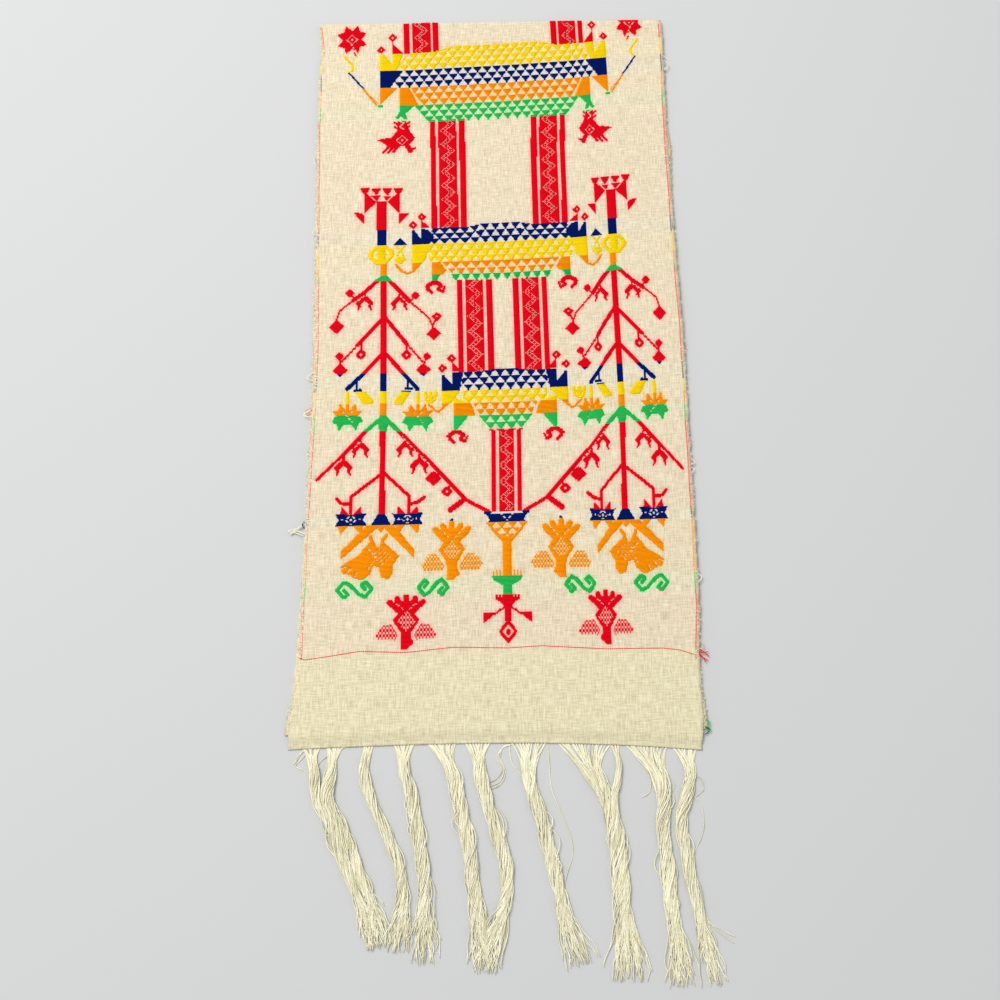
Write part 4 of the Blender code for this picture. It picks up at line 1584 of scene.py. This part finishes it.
def cloth_row_points(row, share):
    left, right = side_edges(row.sides, row.y)
    layer = row.z * EDGE_SEED_PER_HEIGHT
    left = left + edge_wobble(row.y, EDGE_SEEDS[0] + layer)
    right = right + edge_wobble(row.y, EDGE_SEEDS[1] + layer)
    x = mix(left, right, share)
    if row.top:
        y = row.y + top_shift(x, row.y)
        return np.stack([x, y, top_height(x, row.y)], axis=-1)
    y = row.y + row.skew * FOLD_SKEW * x
    return np.stack([x, y, row.z + wave(x, row.y, row.wave)], axis=-1)


def tint_at(chart, x, y):
    """What tints the cloth: yarns passing behind it near the design, and the plain end."""
    full, hue = chart.whole()
    blurred = full.astype(float)
    for axis in (0, 1):
        for _ in range(2):
            blurred = (np.roll(blurred, 1, axis) + blurred + np.roll(blurred, -1, axis)) / 3
    b = weft_row(x, y)
    place = chart_place(x, b) / MM / CELL_ACROSS + CHART_COLUMNS - 0.5
    column = np.clip(np.round(place), 0, 2 * CHART_COLUMNS - 1)
    row = np.round((b / MM - CHART_LOW) / CELL - 0.5)
    within = (row >= 0) & (row < CHART_ROWS)
    at = np.clip(row, 0, CHART_ROWS - 1).astype(int), column.astype(int)
    cover = blurred[at]
    share = np.minimum(SHOW_THROUGH * cover, SHOW_THROUGH_MOST) * within
    colours = np.array([BEHIND[name] for name in COLOURS])[hue[at]]
    tint = 1 + (colours - 1) * (share + ROW_TINT * within)[..., None]
    plain = smoothstep((PLAIN_END_START - b) / PLAIN_END_FADE)[..., None]
    return mix(tint, np.array(PLAIN_END), plain)


def build_cloth(chart):
    rows = cloth_rows()
    share = np.linspace(0, 1, COLUMNS + 1)
    points = np.stack([cloth_row_points(row, share) for row in rows])
    middle = points[:, COLUMNS // 2, 1:]
    steps = np.linalg.norm(np.diff(middle, axis=0, prepend=middle[:1]), axis=1)
    along = np.repeat(np.cumsum(steps)[:, None], COLUMNS + 1, axis=1)
    is_top = np.array([row.top for row in rows])
    first = int(np.argmax(is_top))
    weft = weft_row(points[..., 0], points[..., 1])
    along[first:] = along[first, 0] + FAR_FOLD_Y - weft[first:]
    fade = smoothstep(1 - (along[first, 0] - along[:first, :1]) / TURN_FADE)
    along[:first] += (along[first] - along[first, COLUMNS // 2]) * fade

    tint = np.ones((*points.shape[:2], 3))
    tint[first:] = tint_at(chart, points[first:, :, 0], points[first:, :, 1])
    index = np.arange(points.shape[0] * points.shape[1]).reshape(points.shape[:2])
    faces = np.stack(
        [index[:-1, :-1], index[:-1, 1:], index[1:, 1:], index[1:, :-1]], axis=-1
    ).reshape(-1, 4)
    mesh = bpy.data.meshes.new("runner_cloth")
    mesh.from_pydata(points.reshape(-1, 3).tolist(), [], faces.tolist())
    flat = np.stack([points[..., 0], along], axis=-1).reshape(-1, 2)
    mesh.uv_layers.new(name="flat").data.foreach_set("uv", flat[faces.reshape(-1)].reshape(-1))
    layer = mesh.attributes.new("tint", "FLOAT_COLOR", "POINT")
    full = np.ones((len(flat), 4))
    full[:, :3] = tint.reshape(-1, 3)
    layer.data.foreach_set("color", full.reshape(-1))
    mesh.shade_smooth()
    cloth = add_object("runner_cloth", mesh, cloth_material())
    solid = cloth.modifiers.new("thickness", "SOLIDIFY")
    solid.thickness = SHEET_THICKNESS
    solid.offset = 0.0
    view = bpy.context.evaluated_depsgraph_get()
    plain = bpy.data.meshes.new_from_object(cloth.evaluated_get(view))
    cloth.modifiers.clear()
    cloth.data = plain
    return cloth


def run_stations(first, last, row):
    """Where a float has its rings, in cells: ends, shoulders and every third warp yarn."""
    if last - first <= 1:
        return [first - FLOAT_END, first + 0.5, first + 1 + FLOAT_END], [0.0, 1.0, 0.0]
    inner = [c for c in range(first + 2, last - 1) if (c + 2 * row) % 3 == 0]
    places = [first - FLOAT_END, first + FLOAT_SHOULDER, *inner, last - FLOAT_SHOULDER,
              last + FLOAT_END]
    ties = [TIE_HEIGHT if (c + 2 * row) % 6 == 0 else 1.0 for c in inner]
    return places, [0.0, 1.0, *ties, 1.0, 0.0]


def chart_runs(chart):
    """Every coloured float: its colour, its place along, and its rings' places and heights."""
    full, hue = chart.whole()
    for row in range(CHART_ROWS):
        b = CHART_LOW + (row + 0.5) * CELL
        for i in np.unique(hue[row]):
            chosen = full[row] & (hue[row] == i)
            turns = np.flatnonzero(np.diff(np.concatenate([[0], chosen.astype(int), [0]])))
            for first, last in zip(turns[::2], turns[1::2]):
                places, heights = run_stations(int(first), int(last), row)
                yield list(COLOURS)[i], b, np.array(places), np.array(heights)


def float_points(a, b, lift):
    """Points on the cloth for a float, with the ways across it and up."""
    x, y = weft_place(a, b)
    points, up = on_top(x, y, lift)
    slope = ROW_SLOPE + ROW_SLOPE_GAIN * b
    ahead = np.stack([np.ones_like(x), slope + 0 * x, 0 * x], axis=-1)
    ahead /= np.linalg.norm(ahead, axis=1, keepdims=True)
    across = np.cross(up, ahead)
    return points, across, up


def build_brocade(chart, settings):
    """The coloured floats, one piece for each colour."""
    rng = np.random.default_rng(settings.seed)
    tubes = {name: Tubes(FLOAT_SIDES) for name in COLOURS}
    low = SHEET_THICKNESS / 2 - FLOAT_SINK * settings.float_height
    for colour, b, places, heights in chart_runs(chart):
        b_m = b * MM + 0 * places
        a = across_place((places - CHART_COLUMNS) * CELL_ACROSS * MM, b_m)
        uneven = FLOAT_UNEVEN * rng.random(len(heights))
        rise = settings.float_height * (FLOAT_RISE * heights + uneven)
        points, across, up = float_points(a, b_m, low + rise)
        size = FLOAT_END_SIZE + (1 - FLOAT_END_SIZE) * np.sqrt(heights)
        halves = np.stack(
            [size * settings.float_width * FLOAT_SPREAD, size * settings.float_height / 2], axis=-1
        )
        tubes[colour].add(points, across, up, halves)
    add_red_line(tubes["red"], settings)
    add_selvedge_lines(tubes, settings, rng)
    return tubes


def add_red_line(tubes, settings):
    """The row of red stitches above the plain end."""
    places = np.array(RED_LINE) * MM
    reach = np.concatenate([[0], np.cumsum(np.hypot(*np.diff(places, axis=0).T))])
    stitch = RED_LINE_STITCH * MM
    for start in np.arange(0, reach[-1] - stitch, stitch):
        at = start + stitch * np.array(STITCH_PLACES)
        a = np.interp(at, reach, places[:, 0])
        b = np.interp(at, reach, places[:, 1])
        lift = SHEET_THICKNESS / 2 + settings.float_height * np.array(STITCH_LIFTS)
        points, across, up = float_points(a, b, lift)
        halves = np.full((4, 2), settings.float_height * RED_LINE_HALF)
        tubes.add(points, across, up, halves)


def add_selvedge_lines(tubes, settings, rng):
    """Turns of the coloured weft near the side edges of the upper and the middle layer."""
    half = settings.float_height * TURN_HALF
    for row_y in np.arange(*TOP_TURN_ROWS, CELL * MM):
        for turns in TOP_TURNS:
            if rng.random() < turns.missing:
                continue
            edge = float(side_edges(TOP_SIDES, row_y)[turns.side > 0])
            inset = turns.inset + TURN_UNEVEN * math.sin(TURN_UNEVEN_PACE * row_y)
            middle = edge - turns.side * inset
            b = weft_row(middle, row_y + float(top_shift(middle, row_y)))
            a = middle + turns.length * np.array(TURN_PLACES)
            lift = SHEET_THICKNESS / 2 + settings.float_height * np.array(TURN_LIFTS)
            points, across, up = float_points(a, b + 0 * a, lift)
            tubes[band_colour(b / MM)].add(points, across, up, np.full((4, 2), half))
    for row_y in np.arange(*MIDDLE_TURN_ROWS, CELL * MM):
        colour = next(name for low, name in MIDDLE_BANDS if row_y / MM > low)
        for turns in MIDDLE_TURNS:
            if rng.random() < turns.missing:
                continue
            edge = float(side_edges(MIDDLE_SIDES, row_y)[turns.side > 0])
            x = edge - turns.side * turns.inset + turns.length * np.linspace(-0.5, 0.5, 3)
            z = MIDDLE_Z + wave(x, row_y, MIDDLE_WAVE) + SHEET_THICKNESS / 2
            y = row_y + FOLD_SKEW * x
            bent = z + np.array([-half, 0, -half])
            tubes[colour].add_thread(np.stack([x, y, bent], axis=1), half)


def curve_between(values, slopes, i, step, t):
    """The smooth curve from value i to the next one."""
    start = values[i] * (1 + 2 * t) + slopes[i] * step * t
    end = values[i + 1] * (3 - 2 * t) - slopes[i + 1] * step * (1 - t)
    return start * (1 - t) ** 2 + end * t**2


def course_x(bundle, distance):
    """The X of a bundle's middle at a distance from the cloth, on a smooth curve."""
    places, values = np.array(bundle.course).T * MM
    slopes = np.gradient(values, places)
    i = np.clip(np.searchsorted(places, distance) - 1, 0, len(places) - 2)
    step = places[i + 1] - places[i]
    t = (distance - places[i]) / step
    inner = np.clip(t, 0.0, 1.0)
    curve = curve_between(values, slopes, i, step, inner)
    return curve + slopes[i + 1] * step * np.maximum(t - 1, 0.0)


def yarn_aside(bundle, s, clump, clumps, rng):
    """How far a yarn lies beside its bundle's middle, and how high in it from -1 to 1."""
    length = s[-1]
    turn = 2 * math.pi * s / ROPE_PITCH
    strand = int(clump * STRANDS / clumps)
    gathered = 2 * math.pi * GATHER_LENGTH / ROPE_PITCH
    base = math.pi * (1 - (strand + 0.5) / STRANDS) * (1 if strand % 2 else -1) - gathered
    inner = (1 - STRAND_PLACE) * math.sqrt(rng.random())
    phase = rng.uniform(0, 2 * math.pi)
    wide = STRAND_PLACE * np.cos(base + turn) + inner * np.cos(phase + OWN_TURN * turn)
    high = STRAND_PLACE * np.sin(base + turn) + inner * np.sin(phase + OWN_TURN * turn)

    splay = smoothstep((s - SPREAD_START) / (bundle.reach - SPREAD_START))
    middle = wide[YARN_POINTS // 2]
    end_place = middle * END_FOLLOW + rng.normal(0, END_STRAY)
    end_place = np.clip(end_place, -END_REACH, END_REACH)
    half = mix(bundle.waist / 2, bundle.spread / 2, splay)
    off = mix(wide, end_place, splay**SPLAY_POWER) * half
    aside = WANDER_ASIDE * rng.uniform(*SWAY_SIZE)
    off += aside * np.sin(2 * math.pi * (s / rng.uniform(*SWAY_LENGTH) + rng.random()))
    late = smoothstep((s - CRIMP_START * length) / (CRIMP_FADE * length))
    crimp = CRIMP * rng.uniform(*CRIMP_SIZE) * late
    off += crimp * np.sin(2 * math.pi * (s / rng.uniform(*CRIMP_LENGTH) + rng.random()))
    tip = np.clip(s / length - CURL_START, 0, 1)
    off += END_CURL * rng.normal() * tip**2 / CURL_LENGTH**2
    if rng.random() < LOOSE_SHARE:
        place = rng.uniform(*LOOSE_PLACE) * length
        bulge = rng.uniform(*LOOSE_BULGE)
        bulge = bulge * np.exp(-(((s - place) / rng.uniform(*LOOSE_LENGTH)) ** 2))
        off += math.copysign(1, middle) * bulge
    return off, high, splay


def bundle_yarns(bundle, count, edge_y, direction, rng, radius):
    """The points of every yarn of a bundle: clumped roots, a twisted rope and splayed ends."""
    clumps = max(FEWEST_CLUMPS, round((bundle.right - bundle.left) / CLUMP_PITCH))
    uneven = rng.uniform(-CLUMP_UNEVEN, CLUMP_UNEVEN, clumps)
    roots = (np.arange(clumps) + 0.5 + uneven) / clumps
    bundle_gather = GATHER_LEAST + GATHER_GAIN * (bundle.right - bundle.left)
    gathers = bundle_gather * rng.uniform(*GATHER_UNEVEN, clumps)
    yarns = []
    for i in range(count):
        clump = i % clumps
        root = mix(bundle.left, bundle.right, roots[clump]) + rng.uniform(-1, 1) * CLUMP_SPREAD
        length = bundle.reach * (LONGEST - LENGTH_UNEVEN * rng.random() ** LENGTH_POWER)
        s = np.linspace(0, length, YARN_POINTS)
        off, high, splay = yarn_aside(bundle, s, clump, clumps, rng)

        lean = course_x(bundle, s + LEAN_STEP) - course_x(bundle, s - LEAN_STEP)
        lean = lean / (2 * LEAN_STEP)
        size = np.hypot(1.0, lean)
        gather = np.sin(math.pi / 2 * np.clip(s / gathers[clump], 0, 1))
        x = mix(root, course_x(bundle, s) + off / size, gather)
        y = edge_y(x) + direction * (s - ROOT_UNDER_CLOTH) - direction * lean / size * off * gather
        tall = mix(mix(ROOT_HEIGHT, ROPE_HEIGHT, gather**1.5), END_HEIGHT, splay)
        z = radius + (0.5 + 0.5 * high) * np.maximum(tall - 2 * radius, 0.0)
        z[s < ROOT_FLAT_LENGTH] = radius
        yarns.append(np.stack([x, y, z], axis=-1))
    return yarns


def smooth_path(points, count):
    """A smooth curve through a few points."""
    points = np.asarray(points, float)
    steps = np.hypot(*np.diff(points, axis=0).T)
    reach = np.concatenate([[0], np.cumsum(steps)])
    slopes = np.gradient(points, reach, axis=0)
    at = np.linspace(0, reach[-1], count)
    i = np.clip(np.searchsorted(reach, at) - 1, 0, len(reach) - 2)
    step = (reach[i + 1] - reach[i])[:, None]
    return curve_between(points, slopes, i, step, (at - reach[i])[:, None] / step)


def build_fringe(settings, material):
    rng = np.random.default_rng(settings.seed + 1)
    pieces = []
    for i, bundle in enumerate(BUNDLES):
        tubes = Tubes()
        count = round(settings.yarns_per_metre * (bundle.waist + 0.002))
        for points in bundle_yarns(bundle, count, near_edge_y, -1, rng, YARN_RADIUS):
            tubes.add_thread(points, YARN_RADIUS)
        name = f"fringe_bundle_{i + 1}"
        piece = add_object(name, tubes.mesh(name), material)
        pieces.append(ride_frame(piece, "fringe", "fringe_near"))
    tubes = Tubes()
    for path in LOOSE_THREADS:
        flat = smooth_path(np.array(path) * MM, LOOSE_POINTS)
        height = YARN_RADIUS + LOOSE_LIFT * np.sin(np.linspace(0, 5 * math.pi, LOOSE_POINTS)) ** 2
        tubes.add_thread(np.column_stack([flat, height]), LOOSE_RADIUS)
    piece = add_object("fringe_loose_threads", tubes.mesh("fringe_loose_threads"), material)
    pieces.append(ride_frame(piece, "fringe", "fringe_near"))
    return pieces


def build_hidden_fringe(settings, material):
    """The other end's fringe, flat under the middle layer and plainly finished."""
    rng = np.random.default_rng(settings.seed + 2)
    left, right = BOTTOM_SIDES[0].left, BOTTOM_SIDES[0].right
    pitch = (right - left) / HIDDEN_BUNDLES
    tubes = Tubes()
    for i in range(HIDDEN_BUNDLES):
        middle = left + (i + 0.5) * pitch
        for j in range(HIDDEN_YARNS):
            place = (j + 0.5) / HIDDEN_YARNS * 2 - 1
            s = np.linspace(0, HIDDEN_REACH - HIDDEN_UNEVEN * rng.random(), HIDDEN_POINTS)
            gather = smoothstep(s / GATHER_LENGTH)
            half = mix(HIDDEN_ROOT_HALF * pitch, HIDDEN_WAIST / 2, gather)
            splay = smoothstep((s - SPREAD_START) / HIDDEN_SPLAY_LENGTH)
            half = mix(half, HIDDEN_SPREAD / 2, splay)
            x = middle + place * half + HIDDEN_SWAY * np.sin(18 * s + i) * gather
            y = HIDDEN_END_Y + HIDDEN_START + s
            z = YARN_RADIUS * (1 + 0.2 * np.sin(40 * s + j) ** 2)
            tubes.add_thread(np.stack([x, y, z + 0 * s], axis=-1), HIDDEN_RADIUS)
    piece = add_object("fringe_hidden_yarns", tubes.mesh("fringe_hidden_yarns"), material)
    return ride_frame(piece, "fringe", "fringe_hidden")


def build_edge_threads(settings, material):
    """Small ends and loops of weft that stand out from the side edges."""
    rng = np.random.default_rng(settings.seed + 3)
    tubes = Tubes()
    for sides, height in ((TOP_SIDES, None), (MIDDLE_SIDES, MIDDLE_Z)):
        for row_y in np.arange(*EDGE_ROWS, EDGE_PITCH):
            for side in (-1, 1):
                if rng.random() < EDGE_MISSING:
                    continue
                at = row_y + rng.uniform(-EDGE_PLACE_UNEVEN, EDGE_PLACE_UNEVEN)
                left, right = side_edges(sides, at)
                x = (left if side < 0 else right) - side * EDGE_INSET
                y = at + (float(top_shift(x, at)) if height is None else FOLD_SKEW * x)
                z = float(top_height(x, at)) if height is None else height
                out = side * rng.uniform(*EDGE_OUT)
                along = rng.uniform(-EDGE_ALONG, EDGE_ALONG)
                path = [(x + far * out, y + late * along, z) for far, late in EDGE_LOOP]
                tubes.add_thread(path, EDGE_RADIUS)
    coloured = {}
    for colour, *path in EDGE_LOOPS:
        flat = smooth_path(np.array(path) * MM, LOOP_POINTS)
        edge_x = np.clip(flat[:, 0], -HALF_WIDTH + LOOP_INSET, HALF_WIDTH)
        height = np.array([float(top_height(x, y)) for x, y in zip(edge_x, flat[:, 1])])
        low = np.abs(flat[:, 0]) - np.abs(flat[0, 0])
        height = height - LOOP_DROOP * smoothstep(low / LOOP_DROOP_LENGTH)
        group = tubes if colour == "cream" else coloured.setdefault(colour, Tubes())
        group.add_thread(np.column_stack([flat, height]), LOOP_RADIUS)
    piece = add_object("edge_threads", tubes.mesh("edge_threads"), material)
    ride_frame(piece, "cloth")
    for colour, group in coloured.items():
        name = f"edge_tuft_{colour}"
        tuft = add_object(name, group.mesh(name), made(f"yarn_{colour}"))
        ride_frame(tuft, f"yarn_{colour}")


def build_stage():
    mesh = bpy.data.meshes.new("floor")
    half = FLOOR_HALF
    corners = [(-half, -half, 0), (half, -half, 0), (half, half, 0), (-half, half, 0)]
    mesh.from_pydata(corners, [], [(0, 1, 2, 3)])
    material = bpy.data.materials.new("pale_floor")
    material.use_nodes = True
    shader = material.node_tree.nodes["Principled BSDF"]
    shader.inputs["Base Color"].default_value = FLOOR_COLOUR
    shader.inputs["Roughness"].default_value = 0.9
    floor = add_object("floor", mesh, material)

    light = bpy.data.lights.new("soft_light", "AREA")
    light.size = LIGHT_SIZE
    light.energy = LIGHT_POWER
    lamp = bpy.data.objects.new("soft_light", light)
    lamp.location = LIGHT_PLACE
    aim = Vector(LIGHT_AIM) - lamp.location
    lamp.rotation_euler = aim.to_track_quat("-Z", "Y").to_euler()
    bpy.context.scene.collection.objects.link(lamp)

    world = bpy.data.worlds.new("soft_room")
    world.use_nodes = True
    background = world.node_tree.nodes["Background"]
    background.inputs["Color"].default_value = ROOM_COLOUR
    background.inputs["Strength"].default_value = ROOM_STRENGTH
    bpy.context.scene.world = world

    camera_data = bpy.data.cameras.new("camera")
    camera_data.lens = CAMERA_LENS
    camera_data.sensor_width = CAMERA_SENSOR
    camera = bpy.data.objects.new("camera", camera_data)
    camera.location = CAMERA_PLACE
    camera.rotation_euler = (CAMERA_TILT, 0.0, CAMERA_TURN)
    bpy.context.scene.collection.objects.link(camera)
    bpy.context.scene.camera = camera
    bpy.context.scene.view_settings.view_transform = "Standard"
    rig.stage(floor, lamp, camera)


def made(name):
    """A material or node group made before, or None."""
    return bpy.data.materials.get(name) or bpy.data.node_groups.get(name)


def fringe_material():
    twist = made("Yarn twist") or twist_group()
    return made("fringe_yarn") or yarn_material("fringe_yarn", YARN_CREAM, YARN_SHADE, twist)


class RunnerSettings(bpy.types.PropertyGroup):
    float_width: bpy.props.FloatProperty(
        name="Float width", description="Width of a coloured float", default=0.00118,
        min=0.0004, max=0.003, subtype="DISTANCE", unit="LENGTH",
    )
    float_height: bpy.props.FloatProperty(
        name="Float height", description="Height of a coloured float", default=0.00062,
        min=0.0002, max=0.002, subtype="DISTANCE", unit="LENGTH",
    )
    yarns_per_metre: bpy.props.IntProperty(
        name="Fringe yarns", description="Yarns for each metre of a bundle's waist",
        default=YARNS_PER_METRE, min=500, max=8000,
    )
    seed: bpy.props.IntProperty(
        name="Seed", description="Starting number of the small random differences", default=7,
    )


class PieceOperator:
    """What the operators share: they report what went wrong and stop."""

    bl_options = {"REGISTER", "UNDO"}

    def execute(self, context):
        try:
            self.build(context.scene.runner)
        except (KeyError, ValueError, RuntimeError) as problem:
            self.report({"ERROR"}, f"{self.bl_label} failed: {problem}")
            raise
        return {"FINISHED"}


class RUNNER_OT_cloth(PieceOperator, bpy.types.Operator):
    """Build the folded sheet of cloth"""

    bl_idname = "runner.cloth"
    bl_label = "Cloth"

    def build(self, settings):
        cloth = build_cloth(draw_chart())
        ride_frame(cloth, "cloth", "cloth")


class RUNNER_OT_brocade(PieceOperator, bpy.types.Operator):
    """Build the coloured floats of the woven design"""

    bl_idname = "runner.brocade"
    bl_label = "Brocade"

    def build(self, settings):
        twist = made("Yarn twist") or twist_group()
        for colour, tubes in build_brocade(draw_chart(), settings).items():
            tone = COLOURS[colour]
            shade = tuple(FLOAT_SHADE * part for part in tone)
            material = yarn_material(f"yarn_{colour}", tone, shade, twist)
            name = f"brocade_{colour}"
            piece = add_object(name, tubes.mesh(name), material)
            ride_frame(piece, f"yarn_{colour}")


class RUNNER_OT_edge_threads(PieceOperator, bpy.types.Operator):
    """Build the loose ends and loops along the side edges"""

    bl_idname = "runner.edge_threads"
    bl_label = "Edge threads"

    def build(self, settings):
        build_edge_threads(settings, fringe_material())


class RUNNER_OT_fringe(PieceOperator, bpy.types.Operator):
    bl_idname = "runner.fringe"
    bl_label = "Fringes"

    def build(self, settings):
        material = fringe_material()
        pieces = build_fringe(settings, material)
        pieces.append(build_hidden_fringe(settings, material))
        pieces += [item for item in bpy.data.objects if item.name.startswith("brocade_")]
        cloth = bpy.data.objects["runner_cloth"]
        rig.sheet(cloth, flat=FLAT_SIZE, held="folded", rests_on=["a flat surface"],
                 with_pieces=pieces)


class RUNNER_OT_stage(PieceOperator, bpy.types.Operator):
    """Set the floor, the light and the camera"""

    bl_idname = "runner.stage"
    bl_label = "Stage"

    def build(self, settings):
        build_stage()


OPERATORS = (
    RUNNER_OT_cloth,
    RUNNER_OT_brocade,
    RUNNER_OT_edge_threads,
    RUNNER_OT_fringe,
    RUNNER_OT_stage,
)


class RUNNER_PT_panel(bpy.types.Panel):
    """The sizes and the buttons that build each piece"""

    bl_idname = "RUNNER_PT_panel"
    bl_label = "Woven table runner"
    bl_space_type = "VIEW_3D"
    bl_region_type = "UI"
    bl_category = "Runner"

    def draw(self, context):
        column = self.layout.column()
        for name in RunnerSettings.__annotations__:
            column.prop(context.scene.runner, name)
        for operator in OPERATORS:
            column.operator(operator.bl_idname)


CLASSES = (RunnerSettings, *OPERATORS, RUNNER_PT_panel)


def register():
    for item in CLASSES:
        bpy.utils.register_class(item)
    bpy.types.Scene.runner = bpy.props.PointerProperty(type=RunnerSettings)


def unregister():
    del bpy.types.Scene.runner
    for item in reversed(CLASSES):
        bpy.utils.unregister_class(item)


def clear_scene():
    for item in list(bpy.data.objects):
        bpy.data.objects.remove(item, do_unlink=True)


def as_lists(bounds):
    return [[float(part) for part in corner] for corner in bounds]


def main():
    register()
    clear_scene()
    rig.load()
    sizes = {"frame": as_lists(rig.bounds())}
    bpy.ops.runner.cloth()
    bpy.ops.runner.brocade()
    bpy.ops.runner.edge_threads()
    bpy.ops.runner.fringe()
    bpy.ops.runner.stage()
    sizes["visual"] = as_lists(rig.bounds())
    with open(SIZE_FILE, "w", encoding="utf-8") as file:
        json.dump(sizes, file, indent=1)


if __name__ == "__main__":
    main()
